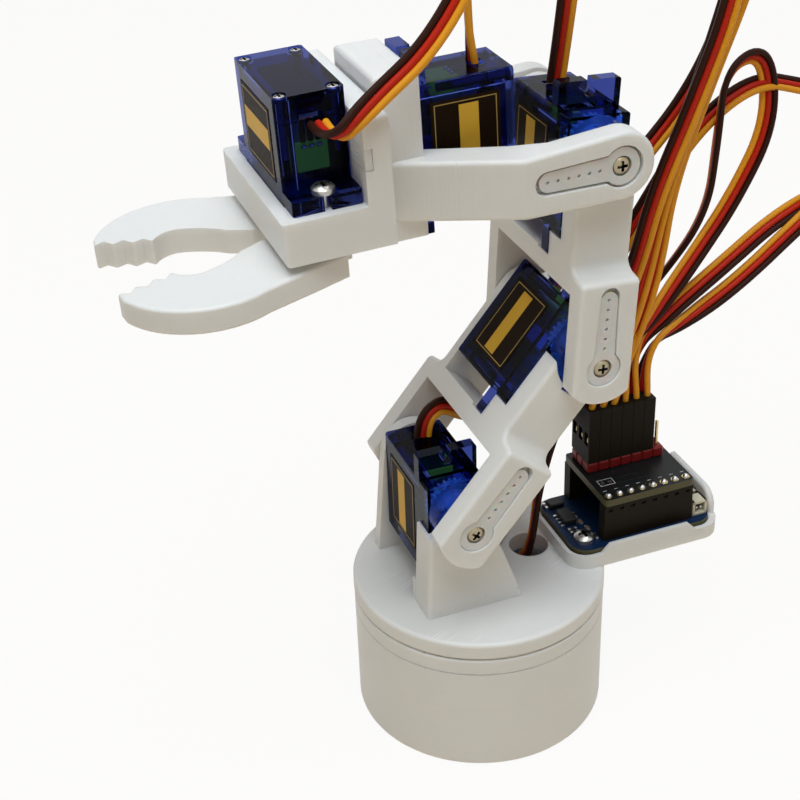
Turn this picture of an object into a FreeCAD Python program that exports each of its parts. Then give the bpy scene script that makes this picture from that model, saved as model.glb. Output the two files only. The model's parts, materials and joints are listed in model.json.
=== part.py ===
"""Desktop robot arm with six micro servos, modelled piece by piece.

Millimetres.  The origin is the centre of the base's underside, on the waist axis.
+X points forward to the claws, +Y to the horn side of the arm, +Z up.
The rest pose is an arm that leans back at the shoulder and holds its claws level.
"""
import FreeCAD, Part
import math
import os

from FreeCAD import Matrix, Placement, Rotation, Vector

X_AXIS = Vector(1, 0, 0)
Y_AXIS = Vector(0, 1, 0)
Z_AXIS = Vector(0, 0, 1)

# Micro servo: the shaft is local +Z, the shaft's end of the case local +X
SERVO_LENGTH = 22.5
SERVO_WIDTH = 12.0
SERVO_HEIGHT = 22.7
SERVO_SHAFT_INSET = 5.9
SERVO_LID = 4.6
SERVO_WALL = 1.0
FLANGE_LENGTH = 32.2
FLANGE_BOTTOM = 15.9
FLANGE_THICKNESS = 2.5
FLANGE_HOLE_PITCH = 27.8
FLANGE_HOLE_RADIUS = 1.0
GEAR_BOSS_RADIUS = 5.85
GEAR_BOSS_HEIGHT = 4.0
IDLER_BOSS_RADIUS = 2.5
IDLER_BOSS_OFFSET = 6.2
SPLINE_RADIUS = 2.35
SPLINE_HEIGHT = 3.0
SHAFT_RADIUS = 2.45
SHAFT_CLEARANCE = 0.07
SERVO_FLANGE_TOP = FLANGE_BOTTOM + FLANGE_THICKNESS
SERVO_BOSS_TOP = SERVO_HEIGHT + GEAR_BOSS_HEIGHT
SERVO_TIP = SERVO_BOSS_TOP + SPLINE_HEIGHT
SERVO_TAIL = SERVO_LENGTH - SERVO_SHAFT_INSET
SERVO_MIDDLE = SERVO_LENGTH / 2 - SERVO_TAIL
SERVO_ROOM = 0.1
CASE_EDGE = 0.6
CASE_COLUMN_RADIUS = 1.5
CASE_COLUMN_INSET = 1.5
CASE_SCREW_BORE = 9.0
LID_FLOOR = 1.2
LEAD_SLOT_HALF = 2.0
LEAD_SLOT_HEIGHT = 1.3
LEAD_SLOT_DEPTH = 1.5
FLANGE_EDGE = 0.5
FLANGE_SLOT_HALF = 0.65
COVER_ROOF = SERVO_HEIGHT - 1.2
HEAD_SINK_ROOM = 0.1

# Inside a servo
MOTOR_RADIUS = 4.9
MOTOR_FLAT = 4.2
MOTOR_X = -10.2
MOTOR_BOTTOM = 6.4
MOTOR_LENGTH = 11.4
PINION_RADIUS = 1.0
PINION_LENGTH = 1.2
SENSOR_RADIUS = 3.6
SENSOR_BOTTOM = 5.2
SENSOR_HEIGHT = 8.6
CONTROL_THICKNESS = 0.9
CONTROL_HALF = 2.7
CONTROL_BACK = -14.6
CONTROL_FRONT = 3.4
CONTROL_BOTTOM = 2.2
CONTROL_TOP = 14.4
CONTROL_GAP = 0.2
OUTPUT_TEETH = 24
OUTPUT_TIP_RADIUS = 4.65
OUTPUT_ROOT_RADIUS = 4.1
OUTPUT_BOTTOM = SERVO_FLANGE_TOP + 0.5
OUTPUT_WIDTH = 1.8
TOOTH_ROOT_SHARE = 0.36
TOOTH_TIP_SHARE = 0.14
SHAFT_LENGTH = 7.4

# Servo horn: hub down on the spline, arm on top
HORN_HUB_RADIUS = 3.1
HORN_HUB_HEIGHT = 2.8
HORN_PLATE = 1.4
HORN_EYE_RADIUS = 3.4
HORN_ROOT_HALF = 2.2
HORN_TIP_RADIUS = 1.8
HORN_LENGTH = 15.5
HORN_DOUBLE_LENGTH = 17.4
HORN_HOLES = 6
HORN_FIRST_HOLE = 4.2
HORN_HOLE_PITCH = 1.95
HORN_HOLE_RADIUS = 0.32
HORN_HOLE_DEPTH = 0.5
HORN_HEIGHT = HORN_HUB_HEIGHT + HORN_PLATE
HORN_GRIP = 2.0
HORN_ROOM = 0.12
HORN_HEAD_ROOM = 0.25
HORN_TIP_ROOM = 0.2
HORN_HUB_BELOW = 5.0
HORN_SUNK = 0.45
LINK_SLOT_LENGTH = HORN_LENGTH + 0.9
HAND_SLOT_LENGTH = HORN_LENGTH + 0.4
HAND_SLOT_ROOM = 0.45

# Screws
CASE_SCREW_RADIUS = 0.7
CASE_HEAD_RADIUS = 1.15
TAB_SCREW_RADIUS = 0.95
TAB_HEAD_RADIUS = 2.0
TAB_SCREW_LENGTH = 7.0
HEAD_HEIGHT = 1.5
FLAT_HEAD = 0.85
PIVOT_SCREW_RADIUS = 1.5
PIVOT_HEAD_RADIUS = 2.9
PIVOT_HEAD_HEIGHT = 1.8
PIVOT_SCREW_LENGTH = 9.0
HORN_SCREW_LENGTH = 4.2
HORN_BORE_SPARE = 0.8
HORN_HEAD_RADIUS = 1.6
HORN_HEAD_HEIGHT = 1.1
HORN_HEAD_SINK = 0.9
BOARD_SCREW_LENGTH = 3.4
BOARD_HOLE_RADIUS = 1.1
BOARD_PILOT = 5.0
BOARD_HEAD_RADIUS = 2.1
BOARD_HEAD_HEIGHT = 1.6
CASE_SCREW_LENGTH = 10.5
CASE_HEAD_HEIGHT = 0.9
CROSS_REACH = 0.62
CROSS_HALF = 0.18
CROSS_FLOOR = 0.25
SCREW_ROOM = 0.05
PRESS_ROOM = 0.03
CROWN_EDGE = 0.55
CROWN_MIDDLE = (0.72, 0.87)

# Base and waist
BASE_RADIUS = 25.8
BASE_WALL = 2.4
BASE_SHELL_TOP = 23.7
FOOT_BOLT_CIRCLE = 20.5
FOOT_BOLT_RADIUS = 1.25
FOOT_BOLT_DEPTH = 9.0
FOOT_BOSS_RADIUS = 3.2
FOOT_BOLTS = 3
BASE_COVER_TOP = 27.3
BASE_COVER_OPENING = 18.5
BASE_COVER_EDGE = 0.4
BASE_SPIGOT = 2.5
BASE_POST_HALF = 4.0
PILOT_DEPTH = 8.0
BASE_SERVO_BOTTOM = 0.1
WAIST_BOTTOM = 27.6
WAIST_TOP = 31.5
WAIST_EDGE = 0.8
CABLE_HOLE = Vector(-12.3, -1.8, 0)
CABLE_HOLE_RADIUS = 4.1
POST_INSET = 0.5
LEAD_GAP_LENGTH = 6.5
LEAD_GAP_NEAR = 2.0
LEAD_GAP_ROOF = 4.0
SPIGOT_ROOM = 0.1
BASE_HORN_GAP = 0.1
DISC_OVERHANG = 0.1
BASE_SEAT_DEPTH = 2.2

# Bracket on the waist that carries the shoulder servo
BRACKET_FRONT = 16.3
BRACKET_REAR = -4.2
BRACKET_REAR_TOP = 2.4
BRACKET_TOP = 50.5
BRACKET_OUTER = 13.0
BRACKET_LEAN = 0.9
BRACKET_LIP_INNER = 4.7
BRACKET_LIP_TOP = 36.6
BRACKET_BOSS_ROOM = 0.4
BRACKET_BACKING = 0.5
FAR_WALL_SPREAD = 0.8
FAR_WALL_MARGIN = 0.6
DRIVER_HOLE_RADIUS = 2.6

# Arm
SHOULDER_X = 8.7
SHOULDER_Z = 54.4
LINK_LENGTH = 39.25
UPPER_ARM_LEAN = 40.1
FOREARM_LEAN = 3.2
HAND_DROOP = 2.1
FORK_OUTER = 20.0
FORK_INNER = 15.6
CHEEK_OUTER = 15.2
SERVO_SEAT = 6.0
SERVO_BASE_Y = SERVO_SEAT - SERVO_FLANGE_TOP
FAR_CHEEK_INNER = SERVO_BASE_Y - 0.2
COVER_POCKET = SERVO_BASE_Y + SERVO_HEIGHT + 0.15
TAB_POCKET = SERVO_BASE_Y + FLANGE_BOTTOM - HEAD_HEIGHT - 0.2
ARM_HALF = 5.8
ARM_EDGE = 0.8
FORK_SIDE_END = 4.7
FORK_APEX = 7.0
FORK_STEP_OUTER = 17.5
FORK_STEP_INNER = 18.2
STEP_HOLLOW = 2.2
STEP_ROUND = 1.0
WEB_BOTTOM = 14.1
WEB_REAR = -1.5
PRONG_TOP = 35.7
PRONG_REAR = 1.4
REAR_CHEEK_TOP = 31.3
BOSS_ROOM_RADIUS = 7.0
STUB_RADIUS = 2.5
STUB_LENGTH = 4.1
STUB_ROOM = 0.06
STUB_HOLE = 6.0
IDLER_ROOM = 0.3
IDLER_SKIN = 0.7
HORN_SEAT_DEPTH = 3.0

# Hand and gripper, in the hand's frame with its origin on the wrist axis
ROLL_AXIS_Z = 10.0
ROLL_SERVO_BACK = 13.5
HAND_BLOCK_BACK = ROLL_SERVO_BACK + SERVO_FLANGE_TOP
HAND_BLOCK_FRONT = 40.0
HAND_BLOCK_HALF = 9.5
HAND_BLOCK_TOP = 20.1
HAND_BLOCK_BOTTOM = -9.6
HAND_EDGE = 0.8
HAND_TOP_EDGE = 1.0
HAND_ROUND_END = 6.2
HAND_BEND = 18.0
HAND_INNER_BEND = 12.0
HAND_ARM_LOW = -5.9
HAND_ARM_HIGH = 5.0
HAND_ARM_SETBACK = 1.8
HAND_INNER_ROOM = 0.4
ROLL_HORN_GRIP = 2.6
GRIP_BACK = 40.5
GRIP_PLATE_FRONT = 45.0
GRIP_FRONT = 59.7
GRIP_HALF = 18.0
GRIP_TOP = 17.0
GRIP_SEAT = 2.15
GRIP_BOTTOM = -5.5
CLAW_X = 51.15
CLAW_TOP = -7.1
CLAW_BOTTOM = -11.7
CLAW_THICKNESS = CLAW_TOP - CLAW_BOTTOM
CLAW_TEETH = 3
CLAW_TOOTH_ROUND = 0.3
CLAW_CORNER = 0.8
CLAW_EDGE = 0.6
PIVOT_BOSS_GAP = 0.12
PIVOT_BOSS_INSET = 0.4
PIVOT_ROOM = 0.08
PIVOT_BORE = 5.0
PIVOT_HEAD_GAP = 0.15
GRIP_BOSS_ROOM = 0.2
GRIP_FLOOR_ROOM = 0.1
CLAW_HORN_LEAN = 20.0
CLAW_HORN_SINK = 0.4
CLAW_PIVOT_Y = SERVO_LENGTH / 2 - SERVO_SHAFT_INSET

# Claw gears: equal toothed roots that meet between the two pivots
GEAR_TEETH = 10
GEAR_PRESSURE = math.radians(25)
GEAR_PITCH_RADIUS = CLAW_PIVOT_Y
GEAR_MODULE = 2 * GEAR_PITCH_RADIUS / GEAR_TEETH
GEAR_TIP_RADIUS = GEAR_PITCH_RADIUS + 0.8 * GEAR_MODULE
GEAR_ROOT_RADIUS = GEAR_PITCH_RADIUS - 1.1 * GEAR_MODULE
GEAR_BACKLASH = 0.16
GEAR_FOOT = 0.8 * GEAR_ROOT_RADIUS
GEAR_MATE_ROOM = 0.3
FLANK_STEPS = 4

# Electronics on the waist's tray
TRAY_FRONT = -16.6
TRAY_BACK = -51.3
TRAY_HALF = 11.0
TRAY_CORNER = 4.5
TRAY_WALL = 0.8
TRAY_END_THICKNESS = 1.6
TRAY_FLOOR = 33.3
TRAY_RIM = 34.6
TRAY_LIP = 36.5
TRAY_END_WALL = 40.0
TRAY_END_FAR = -9.5
TRAY_END_NEAR = 7.4
TRAY_END_CORNER = 4.0
TRAY_END_EDGE = 0.7
TRAY_LIP_BACK = -44.6
TRAY_LIP_FRONT = -23.0
TRAY_LIP_SLOPE = 1.8
BOARD_BOTTOM = 33.9
BOARD_THICKNESS = 1.6
BOARD_TOP = BOARD_BOTTOM + BOARD_THICKNESS
BOARD_EDGE_X = (-49.5, -17.8)
BOARD_HALF = 10.0
BOARD_CORNER = 3.6
BOARD_SCREWS = ((-21.2, 6.0), (-47.1, -6.0))
PIN_PITCH = 2.54
PIN_HALF = 0.32
PIN_ROOM_HALF = 0.45
SOCKET_HEIGHT = 8.5
SOCKET_HALF = 1.25
SOCKET_PINS = 8
SOCKET_INSET = 1.45
SOCKET_BORE_FLOOR = 2.0
SPRING_SLOT_HALF = 0.5
SPRING_SLOT_HEIGHT = 0.7
SPRING_SLOT_DEPTH = 0.35
SPRING_SLOT_DROP = 0.8
MODULE_BOTTOM = BOARD_TOP + SOCKET_HEIGHT + 0.1
MODULE_TOP = MODULE_BOTTOM + BOARD_THICKNESS
MODULE_FRONT = -24.6
MODULE_BACK = -44.9
MODULE_NEAR = 8.6
MODULE_FAR = -10.4
MODULE_CORNER = 0.8
MODULE_PIN_DROP = 5.6
MODULE_PIN_TAIL = 0.5
PLUG_COUNT = 6
PLUG_FRONT = -25.5
PLUG_NEAR = -1.5
PLUG_DEPTH = 3 * PIN_PITCH
PLUG_HEIGHT = 12.4
HEADER_HEIGHT = 2.5
HEADER_PIN_RISE = 6.0
PLUG_GAP = 0.05
PLUG_PIN_DEPTH = 8.0
PLUG_WINDOW_LOW = 4.0
PLUG_WINDOW_HIGH = 7.0
PLUG_WINDOW_HALF = 0.8
PLUG_WINDOW_SKIN = 0.6
PLUG_BOTTOM = MODULE_TOP + HEADER_HEIGHT + PLUG_GAP
PLUG_TOP = PLUG_BOTTOM + PLUG_HEIGHT
POWER_SOCKET_X = (-48.9, -45.5)
POWER_SOCKET_Y = (6.2, 2.2)
POWER_SOCKET_HALF = 1.75
POWER_SOCKET_WALL = 0.6
POWER_SOCKET_HEIGHT = 3.4
LEAD_RADIUS = 1.04
LEAD_BEND_SHARE = 0.45
LEAD_PLUG_GAP = 0.1


def box(x0, x1, y0, y1, z0, z1):
    """A box between two corners."""
    return Part.makeBox(x1 - x0, y1 - y0, z1 - z0, Vector(x0, y0, z0))


def rod(radius, base, direction, length):
    """A round rod from a point along a direction."""
    return Part.makeCylinder(radius, length, base, direction)


def wire_of(points):
    """A closed wire of straight edges; a (middle, end) pair gives an arc instead."""
    edges = []
    at = points[0]
    for item in list(points[1:]) + [points[0]]:
        if isinstance(item, tuple):
            edges.append(Part.Arc(at, item[0], item[1]).toShape())
            at = item[1]
        elif item.distanceToPoint(at) > 1e-6:
            edges.append(Part.LineSegment(at, item).toShape())
            at = item
    return Part.Wire(edges)


def prism(points, sweep):
    """A solid swept from a closed outline."""
    return Part.Face(wire_of(points)).extrude(sweep)


def rounded_plate(x0, x1, y0, y1, z0, z1, radius):
    """A plate with four rounded upright corners."""
    plate = box(x0, x1, y0, y1, z0, z1)
    return plate.makeFillet(radius, upright_edges(plate))


def upright_edges(shape):
    """The straight edges of a shape that run along Z."""
    found = []
    for edge in shape.Edges:
        ends = [vertex.Point for vertex in edge.Vertexes]
        if len(ends) == 2 and abs((ends[1] - ends[0]).normalize().z) > 0.999:
            found.append(edge)
    return found


def edges_near(shape, points):
    """The edges of a shape that pass through any of the given points."""
    found = []
    for point in points:
        probe = Part.Vertex(point)
        found.append(min(shape.Edges, key=lambda edge: edge.distToShape(probe)[0]))
    return found


def screw(radius, length, head_radius, head_height=HEAD_HEIGHT):
    """A pan-head cross screw with its seat at the origin and its shank along -Z."""
    crown = CROWN_EDGE * head_height
    bulge_x, bulge_z = CROWN_MIDDLE
    profile = [
        Vector(0, 0, -length),
        Vector(radius, 0, -length + radius),
        Vector(radius, 0, 0),
        Vector(head_radius, 0, 0),
        Vector(head_radius, 0, crown),
        (Vector(bulge_x * head_radius, 0, bulge_z * head_height), Vector(0, 0, head_height)),
    ]
    body = Part.Face(wire_of(profile)).revolve(Vector(), Z_AXIS, 360)
    slot = CROSS_HALF * head_radius
    reach = CROSS_REACH * head_radius
    floor = CROSS_FLOOR * head_height
    for across, along in ((slot, reach), (reach, slot)):
        body = body.cut(box(-across, across, -along, along, floor, head_height + 1))
    return body


def placed(shape, place):
    """A copy of a shape moved by a placement."""
    moved = shape.copy()
    moved.Placement = place.multiply(moved.Placement)
    return moved


def frame(origin, x_axis, z_axis):
    """The placement whose local X and Z axes are the given directions."""
    y_axis = z_axis.cross(x_axis)
    return Placement(Matrix(
        x_axis.x, y_axis.x, z_axis.x, origin.x,
        x_axis.y, y_axis.y, z_axis.y, origin.y,
        x_axis.z, y_axis.z, z_axis.z, origin.z,
        0, 0, 0, 1))


def toothed_wheel(teeth, root, tip, base, width):
    """A small gear wheel with straight-flanked teeth, about Z."""
    step = 2 * math.pi / teeth
    points = []
    for index in range(teeth):
        for share, reach in ((-TOOTH_ROOT_SHARE, root), (-TOOTH_TIP_SHARE, tip),
                             (TOOTH_TIP_SHARE, tip), (TOOTH_ROOT_SHARE, root)):
            turn = (index + share) * step
            points.append(Vector(reach * math.cos(turn), reach * math.sin(turn), base))
    return prism(points, Z_AXIS * width)


def export(name, *solids):
    """Writes one node, a single solid or a group of separate ones."""
    shape = solids[0] if len(solids) == 1 else Part.makeCompound(list(solids))
    if not shape.isValid():
        raise ValueError(name + " is not a valid solid")
    shape.exportStep("parts/" + name + ".step")
    return shape


# Servo pieces, all in the servo's own frame

def case_corners():
    """The places of the four case screws."""
    ends = (-SERVO_TAIL + CASE_COLUMN_INSET, SERVO_SHAFT_INSET - CASE_COLUMN_INSET)
    side = SERVO_WIDTH / 2 - CASE_COLUMN_INSET
    return [(x, y) for x in ends for y in (-side, side)]


def servo_shell(z0, z1):
    """The case's outer block between two heights."""
    block = box(-SERVO_TAIL, SERVO_SHAFT_INSET, -SERVO_WIDTH / 2, SERVO_WIDTH / 2, z0, z1)
    return block.makeFillet(CASE_EDGE, upright_edges(block))


def servo_hollow(z0, z1):
    """The room inside the case between two heights."""
    wall = SERVO_WALL
    half = SERVO_WIDTH / 2 - wall
    return box(-SERVO_TAIL + wall, SERVO_SHAFT_INSET - wall, -half, half, z0, z1)


def servo_lid():
    """The case's bottom lid with countersunk corner holes and a slot for the lead."""
    lid = servo_shell(0, SERVO_LID).cut(servo_hollow(LID_FLOOR, SERVO_LID))
    half_floor = LID_FLOOR / 2
    for x, y in case_corners():
        lid = lid.fuse(rod(CASE_COLUMN_RADIUS, Vector(x, y, half_floor), Z_AXIS, SERVO_LID - half_floor))
    lid = lid.common(servo_shell(0, SERVO_LID))
    for x, y in case_corners():
        spot = Vector(x, y, 0)
        lid = lid.cut(rod(CASE_SCREW_RADIUS + SCREW_ROOM, spot, Z_AXIS, SERVO_LID))
        head_room = CASE_HEAD_HEIGHT + HEAD_SINK_ROOM
        lid = lid.cut(rod(CASE_HEAD_RADIUS + 2 * SCREW_ROOM, spot, Z_AXIS, head_room))
    slot = box(SERVO_SHAFT_INSET - LEAD_SLOT_DEPTH, SERVO_SHAFT_INSET + 1, -LEAD_SLOT_HALF, LEAD_SLOT_HALF,
               SERVO_LID - LEAD_SLOT_HEIGHT, SERVO_LID)
    return lid.cut(slot).removeSplitter()


def servo_case():
    """The middle case with the two flange tabs and their slotted holes."""
    case = servo_shell(SERVO_LID, SERVO_FLANGE_TOP)
    half = FLANGE_LENGTH / 2
    middle = SERVO_MIDDLE
    side = SERVO_WIDTH / 2
    flange = box(middle - half, middle + half, -side, side, FLANGE_BOTTOM, SERVO_FLANGE_TOP)
    flange = flange.makeFillet(FLANGE_EDGE, upright_edges(flange))
    case = case.fuse(flange).cut(servo_hollow(SERVO_LID, SERVO_FLANGE_TOP))
    for end in (-1, 1):
        hole = middle + end * FLANGE_HOLE_PITCH / 2
        case = case.cut(rod(FLANGE_HOLE_RADIUS, Vector(hole, 0, FLANGE_BOTTOM), Z_AXIS, FLANGE_THICKNESS))
        low, high = sorted((hole, middle + end * (half + 1)))
        case = case.cut(box(low, high, -FLANGE_SLOT_HALF, FLANGE_SLOT_HALF, FLANGE_BOTTOM, SERVO_FLANGE_TOP))
    for x, y in case_corners():
        column = rod(CASE_COLUMN_RADIUS, Vector(x, y, SERVO_LID), Z_AXIS, SERVO_FLANGE_TOP - SERVO_LID)
        case = case.fuse(column.common(servo_shell(SERVO_LID, SERVO_FLANGE_TOP)))
    for x, y in case_corners():
        bore = rod(CASE_SCREW_RADIUS + SCREW_ROOM, Vector(x, y, SERVO_LID), Z_AXIS, CASE_SCREW_BORE)
        case = case.cut(bore)
    return case.removeSplitter()


def servo_gear_cover():
    """The gear cover with the shaft's boss and the smaller idler boss beside it."""
    cover = servo_shell(SERVO_FLANGE_TOP, SERVO_HEIGHT)
    cover = cover.cut(servo_hollow(SERVO_FLANGE_TOP, COVER_ROOF))
    rise = SERVO_BOSS_TOP - COVER_ROOF
    boss = rod(GEAR_BOSS_RADIUS, Vector(0, 0, COVER_ROOF), Z_AXIS, rise)
    idler = rod(IDLER_BOSS_RADIUS, Vector(-IDLER_BOSS_OFFSET, 0, COVER_ROOF), Z_AXIS, rise)
    cover = cover.fuse([boss, idler])
    bore = rod(SHAFT_RADIUS + SHAFT_CLEARANCE, Vector(0, 0, COVER_ROOF - 1), Z_AXIS, rise + 2)
    return cover.cut(bore).removeSplitter()


def servo_innards():
    """The flat-sided motor can with its pinion, the angle sensor and the two control boards."""
    can = rod(MOTOR_RADIUS, Vector(MOTOR_X, 0, MOTOR_BOTTOM), Z_AXIS, MOTOR_LENGTH)
    can = can.common(box(MOTOR_X - 10, MOTOR_X + 10, -MOTOR_FLAT, MOTOR_FLAT, 0, SERVO_HEIGHT))
    pinion = Vector(MOTOR_X, 0, MOTOR_BOTTOM + MOTOR_LENGTH)
    can = can.fuse(rod(PINION_RADIUS, pinion, Z_AXIS, PINION_LENGTH))
    sensor = rod(SENSOR_RADIUS, Vector(0, 0, SENSOR_BOTTOM), Z_AXIS, SENSOR_HEIGHT)
    flat_board = box(CONTROL_BACK, CONTROL_FRONT, -CONTROL_HALF, CONTROL_HALF,
                     CONTROL_BOTTOM, CONTROL_BOTTOM + CONTROL_THICKNESS)
    end = SERVO_SHAFT_INSET - SERVO_WALL - CONTROL_GAP
    end_board = box(end - CONTROL_THICKNESS, end, -CONTROL_HALF, CONTROL_HALF, SENSOR_BOTTOM, CONTROL_TOP)
    return [can, sensor, flat_board, end_board]


def servo_output():
    """The output gear, its shaft and the spline that carries the horn."""
    gear = toothed_wheel(OUTPUT_TEETH, OUTPUT_ROOT_RADIUS, OUTPUT_TIP_RADIUS, OUTPUT_BOTTOM, OUTPUT_WIDTH)
    shaft = rod(SHAFT_RADIUS, Vector(0, 0, OUTPUT_BOTTOM), Z_AXIS, SHAFT_LENGTH)
    spline = rod(SPLINE_RADIUS, Vector(0, 0, OUTPUT_BOTTOM + 1), Z_AXIS, SERVO_TIP - OUTPUT_BOTTOM - 1)
    bore_depth = HORN_SCREW_LENGTH + HORN_BORE_SPARE
    bore = rod(TAB_SCREW_RADIUS + SCREW_ROOM, Vector(0, 0, SERVO_TIP - bore_depth), Z_AXIS, bore_depth + 1)
    return gear.fuse([shaft, spline]).cut(bore).removeSplitter()


def horn_outline(z, room=0.0, length=HORN_LENGTH, arms=1):
    """The horn's plan outline at a height, grown by room: a round eye with one or two slim arms."""
    eye = HORN_EYE_RADIUS + room
    root = HORN_ROOT_HALF + room
    tip = HORN_TIP_RADIUS + room
    root_x = math.sqrt(eye ** 2 - root ** 2)
    end_x = length - HORN_TIP_RADIUS
    far = end_x + tip
    first_arm = [
        Vector(root_x, -root, z), Vector(end_x, -tip, z),
        (Vector(far, 0, z), Vector(end_x, tip, z)), Vector(root_x, root, z),
    ]
    if arms == 1:
        return first_arm + [(Vector(-eye, 0, z), Vector(root_x, -root, z))]
    return first_arm + [
        (Vector(0, eye, z), Vector(-root_x, root, z)), Vector(-end_x, tip, z),
        (Vector(-far, 0, z), Vector(-end_x, -tip, z)), Vector(-root_x, -root, z),
        (Vector(0, -eye, z), Vector(root_x, -root, z)),
    ]


def horn(arms=1, grip=HORN_GRIP, length=HORN_LENGTH):
    """A servo horn with its hub on the origin, its arm along +X and a row of pin-pricks on it."""
    body = prism(horn_outline(HORN_HUB_HEIGHT, length=length, arms=arms), Z_AXIS * HORN_PLATE)
    body = body.fuse(rod(HORN_HUB_RADIUS, Vector(), Z_AXIS, HORN_HUB_HEIGHT))
    body = body.cut(rod(SPLINE_RADIUS + PRESS_ROOM, Vector(), Z_AXIS, grip + HORN_TIP_ROOM))
    body = body.cut(rod(TAB_SCREW_RADIUS + 2 * SCREW_ROOM, Vector(), Z_AXIS, HORN_HEIGHT))
    dish = HORN_HEAD_SINK + SCREW_ROOM
    body = body.cut(rod(HORN_HEAD_RADIUS + HORN_HEAD_ROOM, Vector(0, 0, HORN_HEIGHT - dish), Z_AXIS, 1))
    for side in range(arms):
        for index in range(HORN_HOLES):
            reach = (HORN_FIRST_HOLE + index * HORN_HOLE_PITCH) * (1 - 2 * side)
            low = Vector(reach, 0, HORN_HEIGHT - HORN_HOLE_DEPTH)
            body = body.cut(rod(HORN_HOLE_RADIUS, low, Z_AXIS, HORN_HOLE_DEPTH))
    return body.removeSplitter()


def horn_seat(depth_above, length=HORN_LENGTH, room=HORN_ROOM):
    """The tool that cuts a horn's hub hole and its inlaid arm, in the horn's frame."""
    low = Vector(0, 0, -HORN_HUB_BELOW)
    hub = rod(HORN_HUB_RADIUS + HORN_ROOM, low, Z_AXIS, HORN_HUB_BELOW + HORN_HUB_HEIGHT)
    arm = prism(horn_outline(HORN_HUB_HEIGHT, room, length), Z_AXIS * depth_above)
    return hub.fuse(arm)


def horn_screw(head_height=HORN_HEAD_HEIGHT):
    """The screw that holds a horn on its spline, in the horn's frame."""
    seated = screw(TAB_SCREW_RADIUS, HORN_SCREW_LENGTH, HORN_HEAD_RADIUS, head_height)
    seated.translate(Vector(0, 0, HORN_HEIGHT - HORN_HEAD_SINK))
    return seated


def case_screws(place):
    """The four long screws that close a servo's case, in the arm's frame."""
    turned = Rotation(X_AXIS, 180)
    made = screw(CASE_SCREW_RADIUS, CASE_SCREW_LENGTH, CASE_HEAD_RADIUS, CASE_HEAD_HEIGHT)
    spots = [Placement(Vector(x, y, CASE_HEAD_HEIGHT + SCREW_ROOM), turned) for x, y in case_corners()]
    return [placed(made, place.multiply(spot)) for spot in spots]


def tab_screw(place, end, from_below):
    """A screw through one flange tab, with its head on the lid's or the shaft's side."""
    reach = SERVO_MIDDLE + end * FLANGE_HOLE_PITCH / 2
    made = screw(TAB_SCREW_RADIUS, TAB_SCREW_LENGTH, TAB_HEAD_RADIUS)
    if from_below:
        spot = Placement(Vector(reach, 0, FLANGE_BOTTOM), Rotation(X_AXIS, 180))
    else:
        spot = Placement(Vector(reach, 0, SERVO_FLANGE_TOP), Rotation())
    return placed(made, place.multiply(spot))


def export_servo(name, place):
    """Writes a servo's shells, innards and output shaft."""
    export(name + "_servo_lid", placed(servo_lid(), place))
    export(name + "_servo_case", placed(servo_case(), place))
    export(name + "_servo_gear_cover", placed(servo_gear_cover(), place))
    export(name + "_servo_innards", *[placed(solid, place) for solid in servo_innards()])
    export(name + "_servo_shaft", placed(servo_output(), place))


# Printed pieces

def base_shell():
    """The round base: a wall, two posts under the servo's tabs and bosses to screw it down."""
    shell = rod(BASE_RADIUS, Vector(), Z_AXIS, BASE_SHELL_TOP)
    shell = shell.makeFillet(WAIST_EDGE, edges_near(shell, [Vector(-BASE_RADIUS, 0, 0)]))
    shell = shell.cut(rod(BASE_RADIUS - BASE_WALL, Vector(), Z_AXIS, BASE_SHELL_TOP))
    seat = BASE_SERVO_BOTTOM + FLANGE_BOTTOM
    inside = rod(BASE_RADIUS - POST_INSET, Vector(), Z_AXIS, seat)
    for end in (-1, 1):
        inner = -SERVO_MIDDLE + end * (SERVO_LENGTH / 2 + SERVO_ROOM)
        low, high = sorted((inner, end * BASE_RADIUS))
        post = box(low, high, -BASE_POST_HALF, BASE_POST_HALF, 0, seat)
        shell = shell.fuse(post.common(inside))
        hole = Vector(-SERVO_MIDDLE + end * FLANGE_HOLE_PITCH / 2, 0, seat - PILOT_DEPTH)
        shell = shell.cut(rod(TAB_SCREW_RADIUS + SCREW_ROOM, hole, Z_AXIS, PILOT_DEPTH))
    for index in range(FOOT_BOLTS):
        turn = math.pi / 2 + 2 * math.pi * index / FOOT_BOLTS
        spot = Vector(FOOT_BOLT_CIRCLE * math.cos(turn), FOOT_BOLT_CIRCLE * math.sin(turn), 0)
        shell = shell.fuse(rod(FOOT_BOSS_RADIUS, spot, Z_AXIS, FOOT_BOLT_DEPTH + 2))
        shell = shell.cut(rod(FOOT_BOLT_RADIUS, spot, Z_AXIS, FOOT_BOLT_DEPTH))
    lead_gap = box(-SERVO_SHAFT_INSET - LEAD_GAP_LENGTH, -SERVO_SHAFT_INSET,
                   -BASE_POST_HALF - 1, LEAD_GAP_NEAR, 0, seat - LEAD_GAP_ROOF)
    return shell.cut(lead_gap).removeSplitter()


def base_cover():
    """The ring that closes the base, with a spigot inside the shell."""
    cover = rod(BASE_RADIUS, Vector(0, 0, BASE_SHELL_TOP), Z_AXIS, BASE_COVER_TOP - BASE_SHELL_TOP)
    cover = cover.makeFillet(BASE_COVER_EDGE, edges_near(cover, [
        Vector(-BASE_RADIUS, 0, BASE_SHELL_TOP), Vector(-BASE_RADIUS, 0, BASE_COVER_TOP)]))
    low = Vector(0, 0, BASE_SHELL_TOP - BASE_SPIGOT)
    spigot = rod(BASE_RADIUS - BASE_WALL - SPIGOT_ROOM, low, Z_AXIS, BASE_SPIGOT + SPIGOT_ROOM)
    opening = rod(BASE_COVER_OPENING, Vector(), Z_AXIS, BASE_COVER_TOP)
    return cover.fuse(spigot).cut(opening).removeSplitter()


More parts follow.
